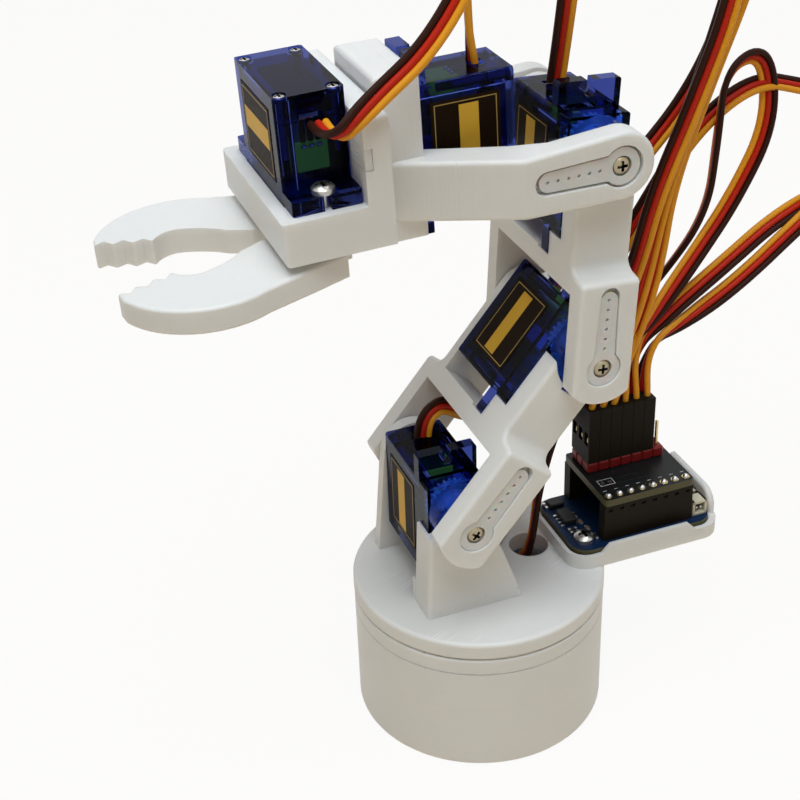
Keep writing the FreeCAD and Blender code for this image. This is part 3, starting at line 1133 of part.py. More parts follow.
def lead_routes():
    """Corner points of each lead, from its servo's case to its plug."""
    exits = {
        "base_servo_lead": [
            (-7.0, -0.6, 5.5), (-10.8, -9.3, 4.6), (-3.5, -17.0, 4.6), (10.5, -16.0, 5.6),
            (11.5, -13.2, 18.6), (-2.5, -9.8, 20.8), (-11.5, -6.4, 22.8), (-12.6, -1.2, 30.5),
            (-15.5, -4.0, 45), (-23.5, -10.0, 57), (-33, -13, 71), (-45, -14, 84), (-52.0, -13.5, 98),
            (-52.5, -13, 111), (-57.5, -12.7, 122), (-68, -12.2, 121), (-70.5, -11.8, 109),
            (-62.0, -10.8, 98), (-51, -9.0, 89.5), (-40.5, -7.0, 82.5)],
        "shoulder_lead": [
            (8.6, -7.4, 60.6), (8.3, -7.6, 63.1), (6.4, -8.4, 65.3), (3.0, -9.5, 65.7), (-2.6, -10.4, 61.4),
            (-11, -11.4, 60.6), (-21.5, -14, 67), (-30, -17, 82),
            (-37, -17, 98), (-48.8, -16.5, 114), (-64, -16, 121.7), (-80, -15.5, 118.5),
            (-96, -15, 115), (-109, -14.5, 106), (-103, -14, 94), (-87, -13, 94.5), (-71, -11, 93),
            (-58, -9, 85.5), (-46, -7, 79)],
        "elbow_lead": [
            (-20.41, -7.4, 88.97), (-27, -8, 97), (-36, -9.5, 108), (-47, -11, 121), (-56, -12, 138),
            (-66, -12, 155), (-84, -11.5, 163), (-102, -11, 153), (-109, -10.5, 134), (-105, -10, 115),
            (-91, -9, 100), (-76, -8, 90.5), (-62, -7, 80.5), (-49.5, -6.2, 74.5)],
        "wrist_lead": [
            (-19.3, -7.4, 129.65), (-21.6, -7.4, 146), (-23.2, -7.2, 167), (-27, -7, 188), (-37, -6.5, 205),
            (-54, -6.2, 206), (-64, -6, 189), (-63, -6, 166), (-56, -6, 144), (-47, -6, 124),
            (-40, -6, 106), (-34, -5.6, 90)],
        "roll_lead": [
            (0.3, 0, 138.95), (1.6, 0, 152), (0, -0.5, 172), (-6, -1, 193), (-19, -1.5, 209),
            (-36, -2, 209), (-49, -2, 195), (-54, -2, 172), (-50, -2.5, 149), (-43, -3, 127),
            (-35.5, -4, 107), (-30.0, -5.0, 89)],
        "gripper_lead": [
            (32.2, 12.5, 137.5), (27.5, 20, 140), (14, 20, 151), (3, 18.5, 170), (-6, 15, 188),
            (-20, 10.5, 201), (-36, 6, 199), (-46, 3, 183), (-48, 1, 162), (-43.5, 0, 142),
            (-37, -1.0, 124), (-31.0, -2.2, 108), (-27.6, -3.6, 92)],
    }
    plug_of = {"gripper_lead": 0, "roll_lead": 1, "wrist_lead": 2,
               "base_servo_lead": 3, "shoulder_lead": 4, "elbow_lead": 5}
    last_bend = {"gripper_lead": 77, "roll_lead": 74, "wrist_lead": 75,
                 "base_servo_lead": 74, "shoulder_lead": 71.5, "elbow_lead": 71}
    columns = plug_columns(PLUG_COUNT)
    routes = {}
    for name, points in exits.items():
        x = columns[plug_of[name]]
        y = PLUG_NEAR - PLUG_DEPTH / 2
        end = [Vector(x, y, last_bend[name]), Vector(x, y, PLUG_TOP + LEAD_PLUG_GAP)]
        routes[name] = [Vector(*point) for point in points] + end
    return routes


def main():
    """Builds every piece in the rest pose and writes it."""
    os.makedirs("parts", exist_ok=True)
    upper_lean = math.radians(UPPER_ARM_LEAN)
    fore_lean = math.radians(FOREARM_LEAN)
    droop = math.radians(HAND_DROOP)
    upper_up = Vector(-math.sin(upper_lean), 0, math.cos(upper_lean))
    fore_up = Vector(-math.sin(fore_lean), 0, math.cos(fore_lean))
    hand_up = Vector(math.sin(droop), 0, math.cos(droop))
    shoulder = Vector(SHOULDER_X, 0, SHOULDER_Z)
    elbow = shoulder + upper_up * LINK_LENGTH
    wrist = elbow + fore_up * LINK_LENGTH
    upper_place = frame(shoulder, Y_AXIS.cross(upper_up), upper_up)
    fore_place = frame(elbow, Y_AXIS.cross(fore_up), fore_up)
    hand_place = frame(wrist, Y_AXIS.cross(hand_up), hand_up)

    # Servo places
    base_servo = frame(Vector(0, 0, BASE_SERVO_BOTTOM), -X_AXIS, Z_AXIS)
    low_y = Y_AXIS * SERVO_BASE_Y
    shoulder_servo = frame(shoulder + low_y, Z_AXIS, Y_AXIS)
    elbow_servo = frame(elbow + low_y, upper_up, Y_AXIS)
    wrist_servo = frame(wrist + low_y, fore_up, Y_AXIS)
    roll_servo = hand_place.multiply(frame(Vector(ROLL_SERVO_BACK, 0, ROLL_AXIS_Z), Z_AXIS, X_AXIS))
    gripper_top = GRIP_SEAT + SERVO_FLANGE_TOP
    gripper_servo = hand_place.multiply(frame(Vector(CLAW_X, CLAW_PIVOT_Y, gripper_top), Y_AXIS, -Z_AXIS))

    # Horn places
    diagonal = Vector(-1, -1, 0).normalize()
    base_tip = BASE_SERVO_BOTTOM + SERVO_TIP
    base_horn = frame(Vector(0, 0, base_tip - HORN_GRIP - BASE_HORN_GAP), diagonal, Z_AXIS)
    shoulder_horn = upper_place.multiply(fork_horn_place(Z_AXIS))
    elbow_horn = fore_place.multiply(fork_horn_place(Z_AXIS))
    wrist_horn = hand_place.multiply(fork_horn_place(X_AXIS))
    roll_hub = Vector(GRIP_PLATE_FRONT - HORN_HEIGHT, 0, ROLL_AXIS_Z)
    roll_horn = hand_place.multiply(frame(roll_hub, Y_AXIS, X_AXIS))
    claw_horn = hand_place.multiply(claw_horn_place())

    # Base
    export("base_shell", base_shell())
    export("base_cover", base_cover())
    case = servo_case().fuse([servo_lid(), servo_gear_cover()]).removeSplitter()
    export("base_servo_case", placed(case, base_servo))
    export("base_screws", tab_screw(base_servo, -1, False), tab_screw(base_servo, 1, False))

    # Waist
    export("waist", waist(base_horn))
    export("base_servo_shaft", placed(servo_output(), base_servo))
    export("base_horn", placed(horn(), base_horn))
    export_servo("shoulder", shoulder_servo)
    board_screw = screw(TAB_SCREW_RADIUS, BOARD_SCREW_LENGTH, BOARD_HEAD_RADIUS, BOARD_HEAD_HEIGHT)
    board_screws = [placed(board_screw, Placement(Vector(x, y, BOARD_TOP), Rotation()))
                    for x, y in BOARD_SCREWS]
    export("waist_screws", placed(horn_screw(), base_horn), tab_screw(shoulder_servo, -1, True),
           *case_screws(shoulder_servo), *board_screws)
    export("main_board", main_board())
    export("module_sockets", *module_sockets())
    export("module_board", module_board())
    export("board_connectors", *board_connectors())
    export("servo_plugs", *servo_plugs())

    # Upper arm and forearm, two prints of one shape
    link = arm_link()
    export("upper_arm", placed(link, upper_place))
    export("shoulder_horn", placed(horn(), shoulder_horn))
    export_servo("elbow", elbow_servo)
    export("upper_arm_screws", placed(horn_screw(), shoulder_horn), tab_screw(elbow_servo, -1, True),
           *case_screws(elbow_servo))
    export("forearm", placed(link, fore_place))
    export("elbow_horn", placed(horn(), elbow_horn))
    export_servo("wrist", wrist_servo)
    export("forearm_screws", placed(horn_screw(), elbow_horn), tab_screw(wrist_servo, -1, True),
           *case_screws(wrist_servo))

    # Hand
    export("hand", placed(hand(), hand_place))
    export("wrist_horn", placed(horn(), wrist_horn))
    export_servo("roll", roll_servo)
    export("hand_screws", placed(horn_screw(), wrist_horn), tab_screw(roll_servo, 1, True),
           *case_screws(roll_servo))

    # Gripper
    export("gripper_base", placed(gripper_base(), hand_place))
    export("roll_horn", placed(horn(2, ROLL_HORN_GRIP, HORN_DOUBLE_LENGTH), roll_horn))
    export_servo("gripper", gripper_servo)
    pivot_screw = screw(PIVOT_SCREW_RADIUS, PIVOT_SCREW_LENGTH, PIVOT_HEAD_RADIUS, PIVOT_HEAD_HEIGHT)
    pivot_spot = frame(Vector(CLAW_X, -CLAW_PIVOT_Y, CLAW_BOTTOM - PIVOT_HEAD_GAP), X_AXIS, -Z_AXIS)
    export("gripper_screws", placed(pivot_screw, hand_place.multiply(pivot_spot)),
           placed(horn_screw(FLAT_HEAD), roll_horn), tab_screw(gripper_servo, 1, True),
           tab_screw(gripper_servo, -1, True), *case_screws(gripper_servo))
    export("claw_driven", placed(claw(True), hand_place))
    export("claw_idler", placed(claw(False), hand_place))
    export("claw_horn", placed(horn(), claw_horn))
    export("claw_screw", placed(horn_screw(), claw_horn))

    for name, route in lead_routes().items():
        lead(name, route)


if __name__ == "__main__":
    main()
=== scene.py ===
"""Looks of a small six-servo desktop robot arm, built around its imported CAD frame.

The camera and the servo leads are made first, then the finishes, then the fine
pieces that ride on the arm's bodies.
"""

import json
import logging
import math
from dataclasses import dataclass
from enum import Enum
from typing import Sequence

import bmesh
import bpy
from mathutils import Matrix, Vector

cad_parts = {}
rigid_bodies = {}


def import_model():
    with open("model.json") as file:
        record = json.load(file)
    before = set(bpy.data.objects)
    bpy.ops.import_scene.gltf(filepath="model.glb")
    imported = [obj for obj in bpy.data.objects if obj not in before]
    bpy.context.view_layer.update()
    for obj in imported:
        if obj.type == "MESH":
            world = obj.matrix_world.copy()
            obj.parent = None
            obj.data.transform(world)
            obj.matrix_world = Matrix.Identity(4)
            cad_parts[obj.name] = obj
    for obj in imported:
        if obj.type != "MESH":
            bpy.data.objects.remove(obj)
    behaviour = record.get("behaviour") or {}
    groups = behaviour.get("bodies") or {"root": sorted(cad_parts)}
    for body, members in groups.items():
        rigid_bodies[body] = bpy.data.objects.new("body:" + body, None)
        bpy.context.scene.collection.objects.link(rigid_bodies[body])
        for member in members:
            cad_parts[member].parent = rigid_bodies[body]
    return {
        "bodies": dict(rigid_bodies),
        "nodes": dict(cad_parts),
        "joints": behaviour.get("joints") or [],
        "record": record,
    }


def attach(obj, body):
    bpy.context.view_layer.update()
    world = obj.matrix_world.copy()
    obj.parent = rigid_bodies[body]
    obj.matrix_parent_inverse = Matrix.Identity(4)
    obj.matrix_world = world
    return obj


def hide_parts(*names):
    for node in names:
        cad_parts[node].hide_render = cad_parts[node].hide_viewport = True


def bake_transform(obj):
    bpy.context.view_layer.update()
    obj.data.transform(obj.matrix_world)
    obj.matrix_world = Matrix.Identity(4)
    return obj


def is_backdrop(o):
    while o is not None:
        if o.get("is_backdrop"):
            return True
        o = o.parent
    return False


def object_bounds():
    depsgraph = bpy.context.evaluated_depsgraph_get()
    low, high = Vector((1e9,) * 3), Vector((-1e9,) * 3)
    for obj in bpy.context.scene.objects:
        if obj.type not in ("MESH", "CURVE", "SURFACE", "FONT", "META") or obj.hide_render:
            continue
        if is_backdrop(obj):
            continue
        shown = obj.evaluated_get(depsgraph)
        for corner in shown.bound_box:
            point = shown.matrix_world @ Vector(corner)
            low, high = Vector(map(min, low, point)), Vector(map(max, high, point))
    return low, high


LOG = logging.getLogger("robot_arm")
MM = 0.001
SNAP = 1e-6
PICTURE = 800
Point = tuple[float, float, float]
Colour = tuple[float, float, float]


class Slot(Enum):
    """The record's material slots."""

    CASE = "servo_case"
    COVER = "servo_cover"
    MOTOR = "motor"
    SCREW = "screw"
    BLUE_BOARD = "board_blue"
    DARK_BOARD = "board_dark"
    BLACK = "black_plastic"
    HEADER = "header"
    LEAD = "lead"
    NYLON = "white_nylon"


class Body(Enum):
    """The bodies of the arm, from the base to the claws."""

    BASE = "base"
    WAIST = "waist"
    UPPER_ARM = "upper_arm"
    FOREARM = "forearm"
    HAND = "hand"
    GRIPPER = "gripper"


def smooth_step(share: float) -> float:
    """Eases a share from 0 to 1."""
    share = min(1.0, max(0.0, share))
    return share * share * (3.0 - 2.0 * share)


@dataclass(frozen=True)
class Place:
    """A right-handed local frame with its origin in millimetres.

    Attributes:
        origin: where the frame sits.
        x: the frame's first axis, of unit length.
        z: the frame's third axis, of unit length.
    """

    origin: Point
    x: Point
    z: Point

    def matrix(self) -> Matrix:
        """Gives the matrix from local millimetres to metres in the arm's frame.

        Returns:
            A four by four matrix.
        """
        x = Vector(self.x).normalized()
        z = Vector(self.z).normalized()
        y = z.cross(x)
        turn = Matrix((x, y, z)).transposed().to_4x4()
        return Matrix.Translation(Vector(self.origin) * MM) @ turn @ Matrix.Scale(MM, 4)


HAND_X = (0.9993284, 0.0, -0.0366437)
HAND_Z = (0.0366437, 0.0, 0.9993284)
SHOULDER = (8.7, 0.0, 54.4)
ELBOW = (-16.58185, 0.0, 84.42316)
WRIST = (-18.77285, 0.0, 123.61196)
UPPER_UP = (-0.644123, 0.0, 0.764921)
FORE_UP = (-0.055822, 0.0, 0.998441)
ROW = Place((0.0, 0.0, 0.0), (1.0, 0.0, 0.0), (0.0, 0.0, 1.0))


def hand_point(x: float, y: float, z: float) -> Point:
    """Turns a point of the hand's frame into one of the arm's frame.

    Args:
        x: millimetres towards the claws from the wrist axis.
        y: millimetres to the near side.
        z: millimetres up.

    Returns:
        The point in millimetres.
    """
    at = Vector(WRIST) + Vector(HAND_X) * x + Vector((0, 1, 0)) * y + Vector(HAND_Z) * z
    return tuple(at)


class Shader:
    """Lays shader nodes in one node tree and links them."""

    def __init__(self, tree: bpy.types.NodeTree) -> None:
        """Keeps the tree that the nodes go into."""
        self.tree = tree

    def feed(self, socket: bpy.types.NodeSocket, value: object) -> None:
        """Links a socket, or sets its value.

        Args:
            socket: the input socket.
            value: an output socket to link, or a plain value to set.
        """
        if isinstance(value, bpy.types.NodeSocket):
            self.tree.links.new(value, socket)
        else:
            socket.default_value = value

    def node(self, kind: str, inputs: dict | None = None, **settings: object) -> bpy.types.Node:
        """Adds a node.

        Args:
            kind: the node's type name.
            inputs: values or sockets by input name or number.
            settings: the node's own properties.

        Returns:
            The new node.
        """
        made = self.tree.nodes.new(kind)
        for key, value in settings.items():
            setattr(made, key, value)
        for key, value in (inputs or {}).items():
            self.feed(made.inputs[key], value)
        return made

    def math(self, operation: str, a: object, b: object = 0.0, clamp: bool = False) -> bpy.types.NodeSocket:
        """Adds a Math node.

        Args:
            operation: the node's operation.
            a: the first value or socket.
            b: the second value or socket.
            clamp: whether the result stays from 0 to 1.

        Returns:
            The result's socket.
        """
        made = self.node("ShaderNodeMath", {0: a, 1: b}, operation=operation, use_clamp=clamp)
        return made.outputs[0]

    def dot(self, a: object, b: object) -> bpy.types.NodeSocket:
        """Gives the dot product of two vectors."""
        made = self.node("ShaderNodeVectorMath", {0: a, 1: b}, operation="DOT_PRODUCT")
        return made.outputs["Value"]

    def blend(self, share: object, a: object, b: object) -> bpy.types.NodeSocket:
        """Mixes two colours.

        Args:
            share: 0 for the first colour, 1 for the second.
            a: the first colour or socket.
            b: the second colour or socket.

        Returns:
            The mixed colour's socket.
        """
        made = self.node("ShaderNodeMix", data_type="RGBA")
        self.feed(made.inputs[0], share)
        self.feed(made.inputs[6], a)
        self.feed(made.inputs[7], b)
        return made.outputs[2]

    def span(self, value: object, low: float, high: float) -> bpy.types.NodeSocket:
        """Maps a value from 0..1 to low..high."""
        made = self.node("ShaderNodeMapRange", {"Value": value, "To Min": low, "To Max": high})
        return made.outputs["Result"]

    def noise(self, vector: object, scale: float, detail: float = 2.0) -> bpy.types.NodeSocket:
        """Adds a noise texture and gives its value."""
        made = self.node("ShaderNodeTexNoise", {"Vector": vector, "Scale": scale, "Detail": detail})
        return made.outputs["Fac"]

    def steps(self, value: object, low: float, high: float) -> bpy.types.NodeSocket:
        """Eases a value from 0 at low to 1 at high."""
        made = self.node("ShaderNodeMapRange", {"Value": value, "From Min": low, "From Max": high},
                         interpolation_type="SMOOTHSTEP")
        return made.outputs["Result"]

    def streaks(self, along: object, scale: float, detail: float) -> bpy.types.NodeSocket:
        """Adds a noise along one value and gives it."""
        made = self.node("ShaderNodeTexNoise", {"W": along, "Scale": scale, "Detail": detail},
                         noise_dimensions="1D")
        return made.outputs["Fac"]

    def bump(self, height: object, distance: float) -> bpy.types.NodeSocket:
        """Adds a bump of that distance in metres and gives its normal."""
        made = self.node("ShaderNodeBump", {"Height": height, "Distance": distance})
        return made.outputs["Normal"]


class Effect(Enum):
    """Shared surface effects, each a shader node group built once."""

    LAYERS = "print_layers"
    RASTER = "closing_raster"
    GRAIN = "fine_grain"
    EDGE = "edge_mask"
    # Painted shade: the mask that darkens narrow recesses in a metal's base colour.
    PAINTED_RECESS_SHADE = "hollow_mask"
    DUST = "dust_specks"


class Effects:
    """Builds the shared node groups and places them in materials."""

    @staticmethod
    def start(name: str, inputs: Sequence[tuple[str, str]], outputs: Sequence[str]) -> tuple[Shader, dict, dict]:
        """Starts a node group.

        Args:
            name: the group's name.
            inputs: pairs of socket name and kind.
            outputs: names of the value outputs.

        Returns:
            The shader hand, the input sockets and the output sockets, by name.
        """
        tree = bpy.data.node_groups.new(name, "ShaderNodeTree")
        for label, kind in inputs:
            tree.interface.new_socket(label, in_out="INPUT", socket_type=kind)
        for label in outputs:
            tree.interface.new_socket(label, in_out="OUTPUT", socket_type="NodeSocketFloat")
        hand = Shader(tree)
        entry = hand.node("NodeGroupInput")
        leave = hand.node("NodeGroupOutput")
        return hand, {s.name: s for s in entry.outputs if s.name}, {s.name: s for s in leave.inputs if s.name}

    @classmethod
    def layers(cls) -> None:
        """Builds the uneven lines of printed layers, strong in patches, and a broad tone along them."""
        sockets = [("Vector", "NodeSocketVector"), ("Axis", "NodeSocketVector"), ("Pitch", "NodeSocketFloat")]
        hand, given, out = cls.start(Effect.LAYERS.value, sockets, ["Height", "Tone"])
        along = hand.math("DIVIDE", hand.dot(given["Vector"], given["Axis"]), given["Pitch"])
        lines = hand.streaks(along, 1.0, 2.0)
        patch = hand.steps(hand.noise(given["Vector"], 70.0), 0.35, 0.65)
        hand.feed(out["Height"], hand.math("MULTIPLY", lines, hand.span(patch, 0.35, 1.0)))
        hand.feed(out["Tone"], hand.streaks(along, 0.22, 3.0))

    @classmethod
    def raster(cls) -> None:
        """Builds the lines laid side by side on the faces that close a print."""
        sockets = [("Vector", "NodeSocketVector"), ("Axis", "NodeSocketVector"),
                   ("Across", "NodeSocketVector"), ("Pitch", "NodeSocketFloat")]
        hand, given, out = cls.start(Effect.RASTER.value, sockets, ["Height", "Mask"])
        facing = hand.node("ShaderNodeTexCoord").outputs["Normal"]
        mask = hand.math("GREATER_THAN", hand.math("ABSOLUTE", hand.dot(facing, given["Axis"])), 0.97)
        along = hand.math("DIVIDE", hand.dot(given["Vector"], given["Across"]), given["Pitch"])
        patch = hand.noise(given["Vector"], 160.0)
        rough = hand.math("MULTIPLY", hand.streaks(along, 1.0, 1.0), patch)
        hand.feed(out["Height"], hand.math("MULTIPLY", rough, mask))
        hand.feed(out["Mask"], mask)

    @classmethod
    def grain(cls) -> None:
        """Builds a fine grain and a broad blotch."""
        sockets = [("Vector", "NodeSocketVector"), ("Scale", "NodeSocketFloat")]
        hand, given, out = cls.start(Effect.GRAIN.value, sockets, ["Fine", "Broad"])
        hand.feed(out["Fine"], hand.noise(given["Vector"], given["Scale"], 3.0))
        broad = hand.math("MULTIPLY", given["Scale"], 0.06)
        hand.feed(out["Broad"], hand.noise(given["Vector"], broad, 2.0))

    @classmethod
    def edge(cls) -> None:
        """Builds a mask that is bright along sharp edges."""
        hand, given, out = cls.start(Effect.EDGE.value, [("Radius", "NodeSocketFloat")], ["Mask"])
        soft = hand.node("ShaderNodeBevel", {"Radius": given["Radius"]}, samples=4).outputs["Normal"]
        plain = hand.node("ShaderNodeNewGeometry").outputs["Normal"]
        apart = hand.math("SUBTRACT", 1.0, hand.dot(soft, plain))
        hand.feed(out["Mask"], hand.math("MULTIPLY", apart, 3.0, clamp=True))

    @classmethod
    def recess_shade(cls) -> None:
        """Builds the mask of painted shade, bright in narrow recesses where shade falls."""
        hand, given, out = cls.start(Effect.PAINTED_RECESS_SHADE.value, [("Reach", "NodeSocketFloat")], ["Mask"])
        open_share = hand.node("ShaderNodeAmbientOcclusion", {"Distance": given["Reach"]}, samples=6,
                               only_local=True).outputs["AO"]
        hand.feed(out["Mask"], hand.steps(open_share, 0.72, 0.38))

    @classmethod
    def dust(cls) -> None:
        """Builds sparse specks."""
        sockets = [("Vector", "NodeSocketVector"), ("Scale", "NodeSocketFloat")]
        hand, given, out = cls.start(Effect.DUST.value, sockets, ["Mask"])
        cells = hand.node("ShaderNodeTexVoronoi", {"Vector": given["Vector"], "Scale": given["Scale"]})
        near = hand.math("LESS_THAN", cells.outputs["Distance"], 0.045)
        pick = hand.math("GREATER_THAN", hand.noise(given["Vector"], 210.0), 0.56)
        hand.feed(out["Mask"], hand.math("MULTIPLY", near, pick))

    @classmethod
    def build(cls) -> None:
        """Builds every shared effect once."""
        for make in (cls.layers, cls.raster, cls.grain, cls.edge, cls.recess_shade, cls.dust):
            make()

    @staticmethod
    def place(hand: Shader, effect: Effect, inputs: dict) -> bpy.types.Node:
        """Places a shared effect in a material.

        Args:
            hand: the material's shader hand.
            effect: which effect.
            inputs: values or sockets by input name.

        Returns:
            The group node.
        """
        made = hand.node("ShaderNodeGroup", node_tree=bpy.data.node_groups[effect.value])
        for key, value in inputs.items():
            hand.feed(made.inputs[key], value)
        return made


def start_material(name: str) -> tuple[bpy.types.Material, Shader, bpy.types.Node, bpy.types.NodeSocket]:
    """Starts a node material.

    Args:
        name: the material's name.

    Returns:
        The material, its shader hand, its Principled shader and the object coordinates.
    """
    made = bpy.data.materials.new(name)
    made.use_nodes = True
    hand = Shader(made.node_tree)
    surface = made.node_tree.nodes["Principled BSDF"]
    where = hand.node("ShaderNodeTexCoord").outputs["Object"]
    return made, hand, surface, where


def rgba(colour: Colour) -> tuple[float, float, float, float]:
    """Adds a full alpha to a colour."""
    return (*colour, 1.0)


def scaled(colour: Colour, share: float) -> Colour:
    """Makes a colour darker or brighter, up to white."""
    return tuple(min(1.0, value * share) for value in colour)


@dataclass(frozen=True)
class PrintFinish:
    """White printed plastic with layer lines on its sides, a grainy raster on its closing faces and painted glints
    on some raster dashes.

    Attributes:
        name: the material's name.
        axis: the direction in which the layers were stacked.
        across: the direction across the raster lines of a closing face.
        lines: the height of the layer lines in metres.
        raster: the height of the raster lines in metres.
        grain: the height of the grain on a closing face in metres.
        painted_glint: how strongly painted highlights, a near white base colour, show on the smoothest raster
            dashes.
        colour: the plastic's colour.
        pitch: the usual distance between lines that show, in metres.
    """

    name: str
    axis: Point
    across: Point
    lines: float = 0.00003
    raster: float = 0.00004
    grain: float = 0.00002
    painted_glint: float = 0.0
    colour: Colour = (0.80, 0.80, 0.79)
    pitch: float = 0.00042

    def material(self) -> bpy.types.Material:
        """Builds the material."""
        made, hand, surface, where = start_material(self.name)
        layers = Effects.place(hand, Effect.LAYERS, {"Vector": where, "Axis": self.axis, "Pitch": self.pitch})
        raster = Effects.place(hand, Effect.RASTER, {
            "Vector": where, "Axis": self.axis, "Across": self.across, "Pitch": self.pitch})
        grain = Effects.place(hand, Effect.GRAIN, {"Vector": where, "Scale": 3600.0})
        dust = Effects.place(hand, Effect.DUST, {"Vector": where, "Scale": 120.0})
        warm = tuple(value * tint for value, tint in zip(self.colour, (0.975, 0.965, 0.945)))
        tone = hand.blend(layers.outputs["Tone"], rgba(self.colour), rgba(warm))
        speck = hand.math("MULTIPLY", dust.outputs["Mask"], 0.3)
        # Painted highlight: patches of raster dashes turn near white in the base colour, as glints.
        patch = hand.math("MULTIPLY", hand.steps(hand.noise(where, 45.0), 0.42, 0.56), self.painted_glint)
        painted_glint_dash = hand.math("MULTIPLY", hand.steps(raster.outputs["Height"], 0.30, 0.36), patch)
        shown = hand.blend(painted_glint_dash, tone, rgba((0.97, 0.97, 0.97)))
        hand.feed(surface.inputs["Base Color"], hand.blend(speck, shown, rgba((0.30, 0.27, 0.24))))
        hand.feed(surface.inputs["Roughness"], hand.span(grain.outputs["Fine"], 0.34, 0.54))
        closing = raster.outputs["Mask"]
        sides = hand.math("MULTIPLY", layers.outputs["Height"], hand.span(closing, self.lines, 0.0))
        laid = hand.math("MULTIPLY", raster.outputs["Height"], self.raster)
        grains = hand.math("MULTIPLY", grain.outputs["Fine"], hand.span(closing, 0.4 * self.grain, self.grain))
        height = hand.math("ADD", hand.math("ADD", sides, laid), grains)
        hand.feed(surface.inputs["Normal"], hand.bump(height, 1.0))
        surface.inputs["Subsurface Weight"].default_value = 0.5
        surface.inputs["Subsurface Radius"].default_value = (1.0, 0.92, 0.84)
        surface.inputs["Subsurface Scale"].default_value = 0.0018
        return made


@dataclass(frozen=True)
class ClearPlastic:
    """Clear coloured plastic of the servo cases.

    Attributes:
        name: the material's name.
        colour: the colour that light takes through a wall.
        roughness: the gloss.
        index: the refractive index, low so that the walls stay dark and clear.
    """

    name: str
    colour: Colour
    roughness: float = 0.04
    index: float = 1.12

    def material(self) -> bpy.types.Material:
        """Builds the material."""
        made, hand, surface, where = start_material(self.name)
        grain = Effects.place(hand, Effect.GRAIN, {"Vector": where, "Scale": 1500.0})
        tone = hand.blend(grain.outputs["Broad"], rgba(self.colour), rgba(scaled(self.colour, 0.7)))
        hand.feed(surface.inputs["Base Color"], tone)
        hand.feed(surface.inputs["Roughness"], hand.span(grain.outputs["Broad"], self.roughness * 0.6,
                                                         self.roughness * 2.2))
        hand.feed(surface.inputs["Normal"], hand.bump(grain.outputs["Fine"], 0.000006))
        surface.inputs["Transmission Weight"].default_value = 1.0
        surface.inputs["IOR"].default_value = self.index
        return made


@dataclass(frozen=True)
class MetalFinish:
    """Plated metal of screws, pins and cans, with painted shade in its narrow recesses.

    Attributes:
        name: the material's name.
        colour: the plating's colour.
        accent: the colour of the screws on the near side's horns.
        near: where that near side starts, in metres along Y.
        roughness: the gloss.
        recess: the width of the recesses that get painted shade, in metres.
        recess_shade_colour: the painted shade's colour in those recesses.
    """

    name: str
    colour: Colour
    accent: Colour | None = None
    near: float = 0.0165
    roughness: float = 0.24
    recess: float = 0.001
    recess_shade_colour: Colour = (0.02, 0.016, 0.012)

    def material(self) -> bpy.types.Material:
        """Builds the material."""
        made, hand, surface, where = start_material(self.name)
        grain = Effects.place(hand, Effect.GRAIN, {"Vector": where, "Scale": 3200.0})
        edge = Effects.place(hand, Effect.EDGE, {"Radius": 0.00012})
        tone = hand.blend(grain.outputs["Broad"], rgba(self.colour), rgba(scaled(self.colour, 0.62)))
        if self.accent:
            side = hand.node("ShaderNodeSeparateXYZ", {0: where}).outputs["Y"]
            tone = hand.blend(hand.math("GREATER_THAN", side, self.near), tone, rgba(self.accent))
        worn = hand.blend(edge.outputs["Mask"], tone, rgba(scaled(self.colour, 1.25)))
        # Painted shade: narrow recesses, found by ambient occlusion, darken towards a dark colour in the base
        # colour.
        recess_shade = Effects.place(hand, Effect.PAINTED_RECESS_SHADE, {"Reach": self.recess})
        hand.feed(surface.inputs["Base Color"], hand.blend(recess_shade.outputs["Mask"], worn, rgba(self.recess_shade_colour)))
        hand.feed(surface.inputs["Roughness"],
                  hand.span(grain.outputs["Fine"], self.roughness, self.roughness + 0.16))
        hand.feed(surface.inputs["Normal"], hand.bump(grain.outputs["Fine"], 0.00003))
        surface.inputs["Metallic"].default_value = 1.0
        return made


@dataclass(frozen=True)
class MouldedFinish:
    """Opaque moulded plastic, coated wire or ink.

    Attributes:
        name: the material's name.
        colour: the plastic's colour.
        roughness: how dull it is.
        grain: how many grains go to a metre.
        bump: the grain's height in metres.
        wear: the colour along sharp edges, if they are worn.
        soft: how much light spreads inside.
        shine: the level of its reflections, 0.5 for common plastic.
    """

    name: str
    colour: Colour
    roughness: float = 0.4
    grain: float = 2200.0
    bump: float = 0.00003
    wear: Colour | None = None
    soft: float = 0.0
    shine: float = 0.5

    def material(self) -> bpy.types.Material:
        """Builds the material."""
        made, hand, surface, where = start_material(self.name)
        grain = Effects.place(hand, Effect.GRAIN, {"Vector": where, "Scale": self.grain})
        tone = hand.blend(grain.outputs["Broad"], rgba(self.colour), rgba(scaled(self.colour, 0.78)))
        if self.wear:
            edge = Effects.place(hand, Effect.EDGE, {"Radius": 0.00018})
            share = hand.math("MULTIPLY", edge.outputs["Mask"], grain.outputs["Broad"])
            tone = hand.blend(share, tone, rgba(self.wear))
        hand.feed(surface.inputs["Base Color"], tone)
        hand.feed(surface.inputs["Roughness"],
                  hand.span(grain.outputs["Fine"], self.roughness - 0.08, self.roughness + 0.1))
        hand.feed(surface.inputs["Normal"], hand.bump(grain.outputs["Fine"], self.bump))
        surface.inputs["Specular IOR Level"].default_value = self.shine
        if self.soft:
            surface.inputs["Subsurface Weight"].default_value = self.soft
            surface.inputs["Subsurface Scale"].default_value = 0.001
        return made


